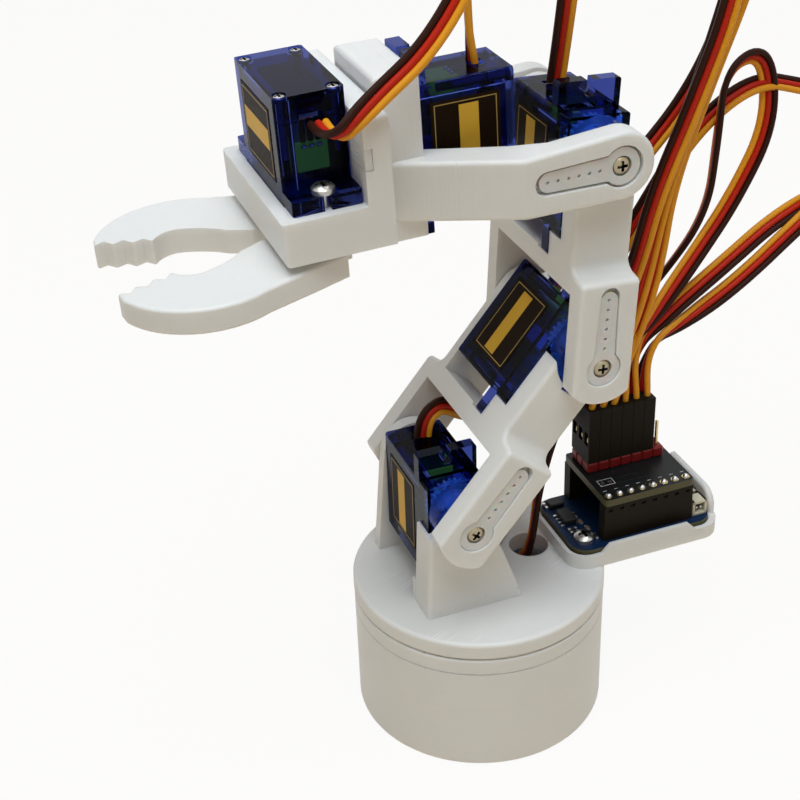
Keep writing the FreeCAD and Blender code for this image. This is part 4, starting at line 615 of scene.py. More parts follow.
@dataclass(frozen=True)
class BoardFinish:
    """A circuit board: lacquered faces with tracks, and bare fibre along its edges.

    Attributes:
        name: the material's name.
        lacquer: the lacquer's colour.
        track: the colour over a track.
        fibre: the colour of the board's edge.
        shine: the level of its reflections.
        glow: the strength of a painted glow, light given off though the board is no lamp, so that it shows behind a
            dark case, which takes light from it twice.
    """

    name: str
    lacquer: Colour
    track: Colour
    fibre: Colour = (0.11, 0.10, 0.045)
    shine: float = 0.18
    glow: float = 0.0

    def material(self) -> bpy.types.Material:
        """Builds the material."""
        made, hand, surface, where = start_material(self.name)
        facing = hand.node("ShaderNodeTexCoord").outputs["Normal"]
        level = hand.math("ABSOLUTE", hand.dot(facing, (0.0, 0.0, 1.0)))
        face = hand.math("GREATER_THAN", level, 0.5)
        tracks = hand.node("ShaderNodeTexBrick", {
            "Vector": where, "Scale": 170.0, "Mortar Size": 0.02, "Mortar Smooth": 0.3,
            "Brick Width": 0.9, "Row Height": 0.31}, offset=0.37, squash=1.6)
        grain = Effects.place(hand, Effect.GRAIN, {"Vector": where, "Scale": 1500.0})
        copper = hand.math("MULTIPLY", tracks.outputs["Fac"], hand.steps(grain.outputs["Broad"], 0.42, 0.62))
        dust = Effects.place(hand, Effect.DUST, {"Vector": where, "Scale": 420.0})
        drawn = hand.blend(copper, rgba(self.lacquer), rgba(self.track))
        specked = hand.blend(hand.math("MULTIPLY", dust.outputs["Mask"], 0.3), drawn, rgba((0.5, 0.5, 0.48)))
        weave = hand.blend(grain.outputs["Fine"], rgba(self.fibre), rgba(scaled(self.fibre, 0.6)))
        shown = hand.blend(face, weave, specked)
        hand.feed(surface.inputs["Base Color"], shown)
        # Painted light: the board gives off its own colour as light, though it is no lamp.
        if self.glow:
            hand.feed(surface.inputs["Emission Color"], shown)
            surface.inputs["Emission Strength"].default_value = self.glow
        hand.feed(surface.inputs["Roughness"], hand.span(grain.outputs["Broad"], 0.3, 0.55))
        height = hand.math("ADD", copper, hand.math("MULTIPLY", grain.outputs["Fine"], 0.2))
        hand.feed(surface.inputs["Normal"], hand.bump(height, 0.00003))
        surface.inputs["Specular IOR Level"].default_value = self.shine
        return made


class Paint(Enum):
    """Every finish of the arm that more than one piece may share."""

    CASE = ClearPlastic("servo_case_blue", (0.044, 0.068, 0.32))
    COVER = ClearPlastic("gear_cover_blue", (0.16, 0.31, 0.82), 0.06)
    NYLON = MouldedFinish("horn_nylon", (0.80, 0.80, 0.79), 0.42, 1800.0, 0.00002, None, 0.5)
    SCREW = MetalFinish("screw_plating", (0.55, 0.53, 0.49), (0.37, 0.31, 0.20))
    BLACK = MouldedFinish("socket_black", (0.013, 0.009, 0.005), 0.5, 2600.0, 0.00002, (0.03, 0.025, 0.02),
                          0.0, 0.08)
    BLUE_BOARD = BoardFinish("main_board_blue", (0.003, 0.018, 0.058), (0.005, 0.03, 0.09))
    DARK_BOARD = BoardFinish("plug_in_board_dark", (0.008, 0.009, 0.009), (0.014, 0.016, 0.017))
    CAN = MetalFinish("motor_can_steel", (0.42, 0.42, 0.43), None, 0.0165, 0.3)
    # Glows with painted light so that it shows through the servo case.
    GREEN = BoardFinish("control_board_green", (0.20, 0.56, 0.04), (0.26, 0.66, 0.06), (0.20, 0.56, 0.04),
                        glow=1.2)
    PIN = MetalFinish("pin_gold", (0.80, 0.62, 0.30), None, 0.0165, 0.2)
    SOLDER = MetalFinish("solder_tin", (0.74, 0.74, 0.73), None, 0.0165, 0.22)
    RED = MouldedFinish("header_red", (0.22, 0.010, 0.010), 0.4, 2200.0, 0.00003, None, 0.0, 0.3)
    CREAM = MouldedFinish("connector_cream", (0.70, 0.64, 0.48), 0.45, 1800.0, 0.00003, None, 0.1)
    BROWN_WIRE = MouldedFinish("wire_brown", (0.034, 0.009, 0.004), 0.4, 900.0, 0.00003, None, 0.0, 0.09)
    RED_WIRE = MouldedFinish("wire_red", (0.56, 0.022, 0.007), 0.36, 900.0, 0.00003, None, 0.0, 0.15)
    ORANGE_WIRE = MouldedFinish("wire_orange", (0.88, 0.37, 0.02), 0.36, 900.0, 0.00003, None, 0.0, 0.18)
    STICKER = MouldedFinish("sticker_dark", (0.017, 0.009, 0.004), 0.4, 1200.0, 0.00001, None, 0.0, 0.02)
    GOLD = MouldedFinish("sticker_gold", (0.84, 0.49, 0.05), 0.42, 1600.0, 0.00001, None, 0.0, 0.08)
    LINE = MouldedFinish("sticker_line", (0.52, 0.36, 0.10), 0.42, 1600.0, 0.00001, None, 0.0, 0.2)
    CHIP = MouldedFinish("chip_black", (0.010, 0.010, 0.011), 0.5, 3000.0, 0.00002, (0.04, 0.04, 0.04),
                         0.0, 0.3)
    RESISTOR = MouldedFinish("resistor_dark", (0.02, 0.018, 0.02), 0.35, 2200.0, 0.00003, None, 0.0, 0.35)
    CERAMIC = MouldedFinish("capacitor_tan", (0.24, 0.17, 0.11), 0.4, 2200.0, 0.00003, None, 0.0, 0.35)
    SILK = MouldedFinish("marking_white", (0.62, 0.64, 0.66), 0.5)

    def coat(self) -> bpy.types.Material:
        """Gives the finish's material, built at its first use."""
        return bpy.data.materials.get(self.value.name) or self.value.material()


class Sculpt:
    """One piece in the making: a bmesh in a local frame, in millimetres."""

    def __init__(self, place: Place = ROW) -> None:
        """Starts an empty piece in that frame."""
        self.bm = bmesh.new()
        self.place = place
        self.paints: list[Paint] = []

    def mark(self, faces: Sequence[bmesh.types.BMFace], paint: Paint) -> None:
        """Gives faces a finish."""
        if paint not in self.paints:
            self.paints.append(paint)
        for face in faces:
            face.material_index = self.paints.index(paint)

    def _faces(self, verts: Sequence[bmesh.types.BMVert]) -> list[bmesh.types.BMFace]:
        """Gives the faces round some vertices."""
        return list({face for vert in verts for face in vert.link_faces})

    def block(self, low: Point, high: Point, paint: Paint, bevel: float = 0.0, segments: int = 2) -> list:
        """Adds a box with softened edges.

        Args:
            low: its lowest corner.
            high: its highest corner.
            paint: its finish.
            bevel: the width of its bevels.
            segments: the steps of each bevel.

        Returns:
            The box's flat faces, where it has no bevels.
        """
        size = Vector(high) - Vector(low)
        middle = (Vector(high) + Vector(low)) / 2
        matrix = Matrix.Translation(middle) @ Matrix.Diagonal((*size, 1.0))
        verts = bmesh.ops.create_cube(self.bm, size=1.0, matrix=matrix)["verts"]
        faces = self._faces(verts)
        self.mark(faces, paint)
        if bevel:
            edges = list({edge for vert in verts for edge in vert.link_edges})
            bmesh.ops.bevel(self.bm, geom=edges, offset=bevel, segments=segments, profile=0.5,
                            affect="EDGES", material=-1, clamp_overlap=True)
        return [face for face in faces if face.is_valid]

    def drum(self, radius: float, base: Point, height: float, paint: Paint, sides: int = 24,
             top: float | None = None, turn: Matrix | None = None) -> list:
        """Adds a round bar or a cone along the frame's Z, or turned from it.

        Args:
            radius: the radius at its foot.
            base: the middle of its foot.
            height: how tall it is.
            paint: its finish.
            sides: how many sides it has.
            top: the radius at its top, if that differs.
            turn: a turn about its foot.

        Returns:
            Its faces.
        """
        matrix = Matrix.Translation(Vector(base)) @ (turn or Matrix()) @ Matrix.Translation((0, 0, height / 2))
        verts = bmesh.ops.create_cone(self.bm, cap_ends=True, cap_tris=False, segments=sides, radius1=radius,
                                      radius2=radius if top is None else top, depth=height, matrix=matrix)["verts"]
        faces = self._faces(verts)
        self.mark(faces, paint)
        return faces

    def wheel(self, teeth: int, root: float, tip: float, base: Point, height: float, paint: Paint) -> None:
        """Adds a toothed wheel.

        Args:
            teeth: how many teeth it has.
            root: the radius between the teeth.
            tip: the radius over the teeth.
            base: the middle of its lower face.
            height: how thick it is.
            paint: its finish.
        """
        steps = 4
        verts = bmesh.ops.create_circle(self.bm, cap_ends=True, segments=steps * teeth, radius=tip,
                                        matrix=Matrix.Translation(Vector(base)))["verts"]
        for index, vert in enumerate(verts):
            if index % steps in (0, 1):
                out = vert.co - Vector(base)
                bmesh.ops.translate(self.bm, verts=[vert], vec=out * (root / tip - 1.0))
        raised = bmesh.ops.extrude_face_region(self.bm, geom=self._faces(verts))["geom"]
        top = [item for item in raised if isinstance(item, bmesh.types.BMVert)]
        bmesh.ops.translate(self.bm, verts=top, vec=(0, 0, height))
        self.mark(self._faces([*verts, *top]), paint)

    def dome(self, radius: float, base: Point, height: float, paint: Paint) -> None:
        """Adds a solder dome.

        Args:
            radius: the radius at its foot.
            base: the middle of its foot.
            height: how tall it is.
            paint: its finish.
        """
        matrix = Matrix.Translation(Vector(base)) @ Matrix.Diagonal((radius, radius, height, 1.0))
        verts = bmesh.ops.create_uvsphere(self.bm, u_segments=12, v_segments=8, radius=1.0, matrix=matrix)["verts"]
        self.mark(self._faces(verts), paint)

    def finish(self, name: str, body: Body, slot: Slot, smooth: float = 35.0) -> bpy.types.Object:
        """Makes the piece an object that rides on a body.

        Args:
            name: the piece's name.
            body: the body that it rides on.
            slot: a record's material slot; not used.
            smooth: the angle in degrees under which faces shade smoothly.

        Returns:
            The new object.
        """
        bmesh.ops.transform(self.bm, matrix=self.place.matrix(), verts=self.bm.verts)
        bmesh.ops.recalc_face_normals(self.bm, faces=self.bm.faces)
        mesh = bpy.data.meshes.new(name)
        self.bm.to_mesh(mesh)
        self.bm.free()
        for paint in self.paints:
            mesh.materials.append(paint.coat())
        mesh.shade_smooth()
        mesh.set_sharp_from_angle(angle=math.radians(smooth))
        made = bpy.data.objects.new(name, mesh)
        bpy.context.scene.collection.objects.link(made)
        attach(made, body.value)
        LOG.info("made %s", name)
        return made


@dataclass
class PhotoCamera:
    """The camera at the photograph's place.

    Attributes:
        position: where it stands, in millimetres.
        azimuth: the way it looks, in degrees, 0 along +Y.
        elevation: how far it looks down, in degrees.
        roll: its turn about its own line of sight, in degrees.
        focal: its focal length in pixels of the 800 pixel picture.
        sensor: its sensor's width in millimetres.
    """

    position: Point = (100.165, 234.304, 226.689)
    azimuth: float = 160.187
    elevation: float = 31.344
    roll: float = -2.249
    focal: float = 1541.456
    sensor: float = 36.0

    def build(self) -> bpy.types.Object:
        """Makes the camera and gives it to the scene.

        Returns:
            The camera object.
        """
        a, e, r = (math.radians(v) for v in (self.azimuth, self.elevation, self.roll))
        back = Vector((math.sin(a) * math.cos(e), -math.cos(a) * math.cos(e), math.sin(e)))
        level = Vector((math.cos(a), math.sin(a), 0.0))
        up = back.cross(level)
        right = level * math.cos(r) + up * math.sin(r)
        above = up * math.cos(r) - level * math.sin(r)
        lens = bpy.data.cameras.new("photo_camera")
        lens.sensor_width = self.sensor
        lens.lens = self.focal / PICTURE * self.sensor
        lens.clip_start, lens.clip_end = 0.01, 20.0
        made = bpy.data.objects.new("photo_camera", lens)
        made.matrix_world = Matrix.Translation(Vector(self.position) * MM) @ Matrix(
            (right, above, back)).transposed().to_4x4()
        bpy.context.scene.collection.objects.link(made)
        bpy.context.scene.camera = made
        return made


@dataclass(frozen=True)
class Stretch:
    """A length of a lead that crosses one joint and stays in place, or rides on one body.

    Attributes:
        end: where it ends, as a share of the lead's length.
        first: the body at its start.
        last: the body at its end, the same as the first where it only rides.
    """

    end: float
    first: Body
    last: Body


@dataclass(frozen=True)
class Facing:
    """The way a ribbon lies at one place.

    Attributes:
        share: the place, as a share of the lead's length.
        across: the way from the brown wire to the orange one there.
    """

    share: float
    across: Point


def square_to(side: Vector, way: Vector) -> Vector:
    """Turns a direction square to another, as a unit vector."""
    return (side - way * side.dot(way)).normalized()


@dataclass(frozen=True)
class Lead:
    """A flat three-wire servo lead along a given route.

    Attributes:
        name: the CAD node that it stands for.
        route: the route's points in millimetres, from the servo to the plug.
        facings: how the ribbon lies, from the servo to the plug.
        stretches: the lengths that it is cut into where it crosses joints.
        wire: a wire's radius in millimetres.
        pitch: the distance between wires in the ribbon.
        plug_pitch: the distance between wires in the plug.
        flare: the length over which they part.
        sides: how many sides a wire has.
        girth: the ribbon's thickness in metres; not used.
        grip: a length in millimetres at each end of a stretch across a joint; not used.
    """

    name: str
    route: tuple[Point, ...]
    facings: tuple[Facing, ...]
    stretches: tuple[Stretch, ...]
    wire: float = 0.66
    pitch: float = 1.26
    plug_pitch: float = 2.3
    flare: float = 9.0
    sides: int = 10
    girth: float = 0.0038
    grip: float = 3.0

    def line(self) -> list[Vector]:
        """Reads the smooth line from the route's NURBS spline.

        Returns:
            Points along the line, in metres.
        """
        curve = bpy.data.curves.new(self.name + "_line", "CURVE")
        curve.dimensions = "3D"
        spline = curve.splines.new("NURBS")
        spline.points.add(len(self.route) - 1)
        for point, at in zip(spline.points, self.route):
            point.co = (*(Vector(at) * MM), 1.0)
        spline.order_u = 3
        spline.use_endpoint_u = True
        spline.resolution_u = 9
        holder = bpy.data.objects.new(self.name + "_line", curve)
        bpy.context.scene.collection.objects.link(holder)
        bpy.context.view_layer.update()
        mesh = bpy.data.meshes.new_from_object(holder)
        line = [vert.co.copy() for vert in mesh.vertices]
        bpy.data.objects.remove(holder)
        bpy.data.curves.remove(curve)
        bpy.data.meshes.remove(mesh)
        return line

    def spot(self, along: Sequence[float], share: float) -> int:
        """Finds the last point of the line up to a share of its length."""
        return max(i for i, at in enumerate(along) if at <= share * along[-1] + SNAP)

    def twists(self, ways: Sequence[Vector], sides: Sequence[Vector], along: Sequence[float]) -> list[float]:
        """Eases the ribbon's twist from one facing to the next.

        Args:
            ways: the line's direction at each point.
            sides: the way across an untwisted ribbon at each point.
            along: the length of the line up to each point.

        Returns:
            The twist at each point, in radians.
        """
        spots: list[float] = []
        turns: list[float] = []
        for facing in self.facings:
            spot = self.spot(along, facing.share)
            goal = square_to(Vector(facing.across), ways[spot])
            turn = math.atan2(ways[spot].dot(sides[spot].cross(goal)), sides[spot].dot(goal))
            if turns:
                turn += math.tau * round((turns[-1] - turn) / math.tau)
            spots.append(along[spot])
            turns.append(turn)
        made = []
        for at in along:
            after = next((i for i, spot in enumerate(spots) if spot >= at), len(spots) - 1)
            before = max(0, after - 1)
            room = spots[after] - spots[before]
            share = smooth_step((at - spots[before]) / room) if room else 1.0
            made.append(turns[before] + (turns[after] - turns[before]) * share)
        return made

    def frames(self, line: Sequence[Vector], along: Sequence[float]) -> list[Matrix]:
        """Lays the ribbon along its line.

        Args:
            line: points along the lead.
            along: the length of the line up to each point.

        Returns:
            A frame at each point: X across the ribbon, Z along it.
        """
        last = len(line) - 1
        ways = [(line[min(i + 1, last)] - line[max(i - 1, 0)]).normalized() for i in range(last + 1)]
        sides = [square_to(Vector(self.facings[0].across), ways[0])]
        for before, after in zip(ways, ways[1:]):
            sides.append(before.rotation_difference(after) @ sides[-1])
        made = []
        for at, way, side, turn in zip(line, ways, sides, self.twists(ways, sides, along)):
            across = Matrix.Rotation(turn, 3, way) @ side
            made.append(Matrix.Translation(at) @ Matrix((across, way.cross(across), way)).transposed().to_4x4())
        return made

    def spread(self, left: float) -> float:
        """Gives the wires' spacing at a distance from the plug, both in millimetres."""
        return self.pitch + (self.plug_pitch - self.pitch) * (1.0 - smooth_step(left / self.flare))

    def wires(self, name: str, frames: Sequence[Matrix], spacing: Sequence[float]) -> bpy.types.Object:
        """Makes one length of the ribbon as three round wires.

        Args:
            name: the length's name.
            frames: the ribbon's frames along it.
            spacing: the wires' spacing at each frame, in millimetres.

        Returns:
            The new object.
        """
        bm = bmesh.new()
        paints = (Paint.BROWN_WIRE, Paint.RED_WIRE, Paint.ORANGE_WIRE)
        for index, side in enumerate((-1.0, 0.0, 1.0)):
            spots = [frame @ Matrix.Translation((side * gap * MM, 0, 0)) for frame, gap in zip(frames, spacing)]
            ring = bmesh.ops.create_circle(bm, cap_ends=True, segments=self.sides, radius=self.wire * MM,
                                           matrix=spots[0])["verts"]
            faces = list({face for vert in ring for face in vert.link_faces})
            edges = list({edge for vert in ring for edge in vert.link_edges})
            for before, after in zip(spots, spots[1:]):
                made = bmesh.ops.extrude_edge_only(bm, edges=edges)["geom"]
                ring = {item for item in made if isinstance(item, bmesh.types.BMVert)}
                edges = [item for item in made if isinstance(item, bmesh.types.BMEdge)
                         and all(vert in ring for vert in item.verts)]
                faces += [item for item in made if isinstance(item, bmesh.types.BMFace)]
                bmesh.ops.transform(bm, matrix=after @ before.inverted(), verts=list(ring))
            faces += bmesh.ops.contextual_create(bm, geom=edges)["faces"]
            for face in faces:
                face.material_index = index
        bmesh.ops.recalc_face_normals(bm, faces=bm.faces)
        mesh = bpy.data.meshes.new(name)
        bm.to_mesh(mesh)
        bm.free()
        for paint in paints:
            mesh.materials.append(paint.coat())
        mesh.shade_smooth()
        mesh.set_sharp_from_angle(angle=math.radians(50))
        made = bpy.data.objects.new(name, mesh)
        bpy.context.scene.collection.objects.link(made)
        return made

    def build(self) -> list[bpy.types.Object]:
        """Returns:
            The lengths, from the servo to the plug.
        """
        line = self.line()
        along = [0.0]
        for before, after in zip(line, line[1:]):
            along.append(along[-1] + (after - before).length)
        frames = self.frames(line, along)
        spacing = [self.spread((along[-1] - at) / MM) for at in along]
        made = []
        start = 0
        for number, stretch in enumerate(self.stretches):
            stop = self.spot(along, stretch.end)
            name = self.name + ("" if len(self.stretches) == 1 else f"_{number + 1}")
            piece = self.wires(name + "_ribbon", frames[start:stop + 1], spacing[start:stop + 1])
            if stretch.first is stretch.last:
                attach(piece, stretch.first.value)
            else:
                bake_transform(piece)
            if not made:
                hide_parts(self.name)
            LOG.info("made %s, %.1f mm", name, (along[stop] - along[start]) / MM)
            made.append(piece)
            start = stop
        return made


IN_PLUG = Facing(1.0, (0.0, 1.0, 0.0))
TO_RIGHT: Point = (-0.941, 0.339, 0.0)
TO_LEFT: Point = (0.941, -0.339, 0.0)
LOW_RIGHT: Point = (-0.535, 0.58, -0.6)
HIGH_LEFT: Point = (0.535, -0.58, 0.6)
AWAY: Point = (-0.29, -0.8, -0.52)
LEADS = (
    Lead("base_servo_lead", (
        (-7.0, -0.6, 5.5), (-10.8, -9.3, 4.6), (-3.5, -17.0, 4.6), (10.5, -16.0, 5.6), (11.5, -13.2, 18.6),
        (-2.5, -9.8, 20.8), (-11.5, -6.4, 22.8), (-12.6, -1.2, 30.5), (-15.5, -4.0, 45.0),
        (-23.5, -10.0, 57.0), (-35.9, -12.6, 72.0), (-47.2, -12.3, 82.7), (-55.3, -10.8, 95.6),
        (-56.6, -11.2, 110.6), (-58.9, -13.6, 124.1), (-68.7, -15.3, 126.1), (-70.2, -13.4, 111.3),
        (-61.4, -10.8, 97.7), (-51.1, -7.7, 87.6), (-40.2, -4.2, 78.0), (-34.7, -3.9, 72.0),
        (-34.39, -5.31, 60.75)),
        (Facing(0.0, (0.0, 1.0, 0.0)), Facing(0.27, (-0.34, -0.94, 0.0)), Facing(0.36, (-0.34, -0.94, 0.0)),
         Facing(0.52, AWAY), Facing(0.63, AWAY), Facing(0.74, TO_LEFT), Facing(0.88, TO_LEFT), IN_PLUG),
        (Stretch(0.33, Body.BASE, Body.WAIST), Stretch(1.0, Body.WAIST, Body.WAIST))),
    Lead("shoulder_lead", (
        (8.6, -7.4, 60.6), (8.3, -7.6, 63.1), (6.4, -8.4, 65.3), (3.0, -9.5, 65.7), (-2.6, -10.4, 61.4),
        (-11.0, -11.4, 60.6), (-21.5, -14.0, 67.0), (-34.2, -15.4, 81.9), (-42.4, -14.2, 96.7),
        (-52.6, -14.1, 112.4), (-66.3, -14.5, 120.7), (-78.2, -15.1, 116.9), (-93.0, -13.5, 112.0),
        (-109.0, -14.5, 106.0), (-103.0, -14.0, 94.0), (-87.0, -13.0, 94.5), (-71.8, -10.0, 91.8),
        (-58.1, -8.1, 84.1), (-45.0, -6.2, 77.3), (-36.93, -5.31, 71.5), (-36.93, -5.31, 60.75)),
        (Facing(0.0, (-1.0, 0.0, 0.0)), Facing(0.1, (0.0, 0.0, -1.0)), Facing(0.26, LOW_RIGHT),
         Facing(0.46, LOW_RIGHT), Facing(0.76, HIGH_LEFT), Facing(0.9, HIGH_LEFT), IN_PLUG),
        (Stretch(1.0, Body.WAIST, Body.WAIST),)),
    Lead("elbow_lead", (
        (-20.41, -7.4, 88.97), (-27.0, -8.0, 97.0), (-36.0, -9.5, 108.0), (-49.7, -10.3, 121.5),
        (-57.8, -11.3, 137.9), (-66.0, -12.0, 155.0), (-84.0, -11.5, 163.0), (-102.0, -11.0, 153.0),
        (-109.0, -10.5, 134.0), (-105.0, -10.0, 115.0), (-91.0, -9.0, 100.0), (-76.0, -8.0, 90.5),
        (-62.0, -7.0, 80.5), (-49.5, -6.2, 74.5), (-39.47, -5.31, 71.0), (-39.47, -5.31, 60.75)),
        (Facing(0.0, (-0.765, 0.0, -0.644)), Facing(0.16, LOW_RIGHT), Facing(0.3, TO_RIGHT),
         Facing(0.72, HIGH_LEFT), Facing(0.88, HIGH_LEFT), IN_PLUG),
        (Stretch(0.55, Body.UPPER_ARM, Body.WAIST), Stretch(1.0, Body.WAIST, Body.WAIST))),
    Lead("wrist_lead", (
        (-19.3, -7.4, 129.65), (-21.6, -7.4, 146.0), (-23.2, -7.2, 167.0), (-27.0, -7.0, 188.0),
        (-37.0, -6.5, 205.0), (-54.0, -6.2, 206.0), (-64.0, -6.0, 189.0), (-63.0, -6.0, 166.0),
        (-56.9, -5.6, 144.0), (-48.9, -5.2, 123.9), (-42.5, -5.0, 105.9), (-39.8, -3.4, 89.8),
        (-36.0, -3.7, 74.8), (-31.85, -5.31, 60.75)),
        (Facing(0.0, (-0.998, 0.0, -0.056)), Facing(0.6, TO_RIGHT), Facing(0.86, TO_RIGHT), IN_PLUG),
        (Stretch(0.46, Body.FOREARM, Body.UPPER_ARM), Stretch(1.0, Body.UPPER_ARM, Body.WAIST))),
    Lead("roll_lead", (
        (0.3, 0.0, 138.95), (1.6, 0.0, 152.0), (0.0, -0.5, 172.0), (-6.0, -1.0, 193.0), (-19.0, -1.5, 209.0),
        (-36.0, -2.0, 209.0), (-49.0, -2.0, 195.0), (-55.9, -1.3, 171.9), (-52.7, -1.5, 149.0),
        (-46.4, -1.7, 127.0), (-39.9, -2.3, 106.8), (-36.8, -2.4, 88.8), (-33.4, -3.7, 73.8),
        (-29.31, -5.31, 60.75)),
        (Facing(0.0, (0.0, 1.0, 0.0)), Facing(0.03, (0.34, 0.94, 0.0)), Facing(0.3, (0.34, 0.94, 0.0)),
         Facing(0.62, TO_RIGHT), Facing(0.86, TO_RIGHT), IN_PLUG),
        (Stretch(0.27, Body.HAND, Body.FOREARM), Stretch(0.56, Body.FOREARM, Body.UPPER_ARM),
         Stretch(1.0, Body.UPPER_ARM, Body.WAIST))),
    Lead("gripper_lead", (
        (32.2, 12.5, 137.5), (32.4, 20.4, 136.6), (26.6, 19.9, 141.6), (14.0, 20.0, 151.0), (3.0, 18.5, 170.0),
        (-6.0, 15.0, 188.0), (-20.0, 10.5, 201.0), (-36.0, 6.0, 199.0), (-46.0, 3.0, 183.0),
        (-51.1, 2.2, 161.9), (-49.8, 1.7, 142.9), (-43.0, 1.3, 123.7), (-37.1, 0.2, 107.7),
        (-34.2, -1.1, 91.8), (-30.3, -4.0, 76.9), (-26.77, -5.31, 60.75)),
        (Facing(0.0, (-1.0, 0.0, 0.0)), Facing(0.08, (-0.42, 0.59, -0.68)), Facing(0.35, (-0.42, 0.59, -0.68)),
         Facing(0.62, TO_RIGHT), Facing(0.86, TO_RIGHT), IN_PLUG),
        (Stretch(0.20, Body.GRIPPER, Body.HAND), Stretch(0.39, Body.HAND, Body.FOREARM),
         Stretch(0.62, Body.FOREARM, Body.UPPER_ARM), Stretch(1.0, Body.UPPER_ARM, Body.WAIST))),
)


@dataclass
class Servo:
    """The fine pieces of one micro servo, in its own frame and in millimetres.

    Attributes:
        name: the start of its CAD nodes' names.
        body: the body that carries it.
        place: its frame: Z along the shaft, X to the shaft's end of the case.
        side: 1 where the sticker is on the local +Y face, -1 for the other.
        face: the distance of the case's broad faces from the shaft.
        motor_x: the motor's place along the case.
        can_radius: the motor can's radius.
        can_foot: where the can starts along the shaft.
        can_height: how tall the can is.
        sensor_radius: the radius of the sensor under the shaft.
        board_half: half the width of both control boards.
        flat_board: the span along X of the board over the lid.
        end_board: the span along Z of the board at the shaft's end.
        end_x: where the end board lies along the case.
        stub_radius: the radius of the wires at the end board.
        label_low: the sticker's lowest corner, along X and Z.
        label_high: its highest corner.
        bar_low: the gold bar's lowest corner.
        bar_high: its highest corner.
        label_thickness: the sticker's thickness.
        ink: the thickness of the print on it.
        margin: the dark margin outside the gold line.
        line: the width of the gold line.
    """

    name: str
    body: Body
    place: Place
    side: float = 1.0
    face: float = 6.0
    motor_x: float = -10.2
    can_radius: float = 4.2
    can_foot: float = 6.4
    can_height: float = 10.6
    sensor_radius: float = 2.8
    board_half: float = 2.7
    flat_board: tuple[float, float] = (-14.4, 3.4)
    end_board: tuple[float, float] = (8.6, 13.6)
    end_x: tuple[float, float] = (3.8, 4.6)
    stub_radius: float = 0.5
    label_low: tuple[float, float] = (-13.1, 2.7)
    label_high: tuple[float, float] = (2.5, 15.4)
    bar_low: tuple[float, float] = (-12.0, 6.7)
    bar_high: tuple[float, float] = (1.25, 10.3)
    label_thickness: float = 0.1
    ink: float = 0.03
    margin: float = 0.6
    line: float = 0.17

    def innards(self) -> bpy.types.Object:
        """Makes the motor, the control boards and the sensor seen through the case.

        Returns:
            The new piece.
        """
        part = Sculpt(self.place)
        can = part.drum(self.can_radius, (self.motor_x, 0.0, self.can_foot), self.can_height, Paint.CAN, 32)
        rims = [edge for face in can if len(face.verts) > 4 for edge in face.edges]
        bmesh.ops.bevel(part.bm, geom=rims, offset=0.5, segments=2, profile=0.5, affect="EDGES", material=-1)
        part.drum(1.6, (self.motor_x, 0.0, 16.95), 0.6, Paint.CAN, 20)
        part.drum(0.6, (self.motor_x, 0.0, 17.5), 1.3, Paint.PIN, 12)
        part.drum(self.sensor_radius, (0.0, 0.0, 5.4), 8.2, Paint.NYLON, 28)
        part.drum(2.2, (0.0, 0.0, 13.6), 1.2, Paint.CAN, 20)
        low, high = self.flat_board
        part.block((low, -self.board_half, 2.3), (high, self.board_half, 3.1), Paint.DARK_BOARD, 0.1, 1)
        part.block((-5.0, -1.9, 3.1), (-0.6, 1.9, 4.2), Paint.CHIP, 0.15, 1)
        for x in (-12.4, -10.0, -7.2, 1.4, 2.6):
            part.block((x - 0.35, -1.2, 3.1), (x + 0.35, 1.2, 3.7), Paint.CERAMIC, 0.08, 1)
        low, high = self.end_board
        # The end board glows with painted light.
        part.block((self.end_x[0], -self.board_half, low), (self.end_x[1], self.board_half, high),
                   Paint.GREEN, 0.1, 1)
        middle = (self.end_x[0] + self.end_x[1]) / 2
        for y, paint in ((-1.3, Paint.BROWN_WIRE), (0.0, Paint.RED_WIRE), (1.3, Paint.ORANGE_WIRE)):
            part.drum(self.stub_radius, (middle, y, 4.9), low - 4.9, paint, 10)
            part.dome(0.6, (self.end_x[1] - 0.2, y, low + 0.7), 0.5, Paint.SOLDER)
        made = part.finish(f"{self.name}_innards_detail", self.body, Slot.MOTOR)
        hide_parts(f"{self.name}_servo_innards")
        return made

    def gears(self) -> bpy.types.Object:
        """Makes the idler gears under the gear cover.

        Returns:
            The new piece.
        """
        part = Sculpt(self.place)
        part.wheel(22, 3.05, 3.5, (-6.3, 0.0, 20.8), 0.6, Paint.NYLON)
        part.wheel(10, 1.1, 1.5, (-6.3, 0.0, 18.6), 2.2, Paint.NYLON)
        part.wheel(9, 0.7, 1.1, (-10.9, 0.0, 18.9), 2.4, Paint.PIN)
        return part.finish(f"{self.name}_gears", self.body, Slot.COVER)

    def sticker(self) -> bpy.types.Object:
        """Makes the plain dark sticker with its gold line and bar.

        Returns:
            The new piece.
        """
        part = Sculpt(self.place)
        inner = self.side * self.face
        outer = self.side * (self.face + self.label_thickness)
        raised = outer + self.side * self.ink
        low = (self.label_low[0], min(inner, outer), self.label_low[1])
        high = (self.label_high[0], max(inner, outer), self.label_high[1])
        faces = part.block(low, high, Paint.STICKER)
        front = [face for face in faces if abs(face.calc_center_median().y - outer) < SNAP]
        for width, paint in ((self.margin, Paint.STICKER), (self.line, Paint.LINE)):
            ring = bmesh.ops.inset_region(part.bm, faces=front, thickness=width, use_even_offset=True)["faces"]
            part.mark(ring, paint)
        part.block((self.bar_low[0], min(outer, raised), self.bar_low[1]),
                   (self.bar_high[0], max(outer, raised), self.bar_high[1]), Paint.GOLD)
        return part.finish(f"{self.name}_sticker", self.body, Slot.CASE)

    def build(self) -> None:
        """Makes every fine piece of the servo."""
        self.innards()
        self.gears()
        self.sticker()


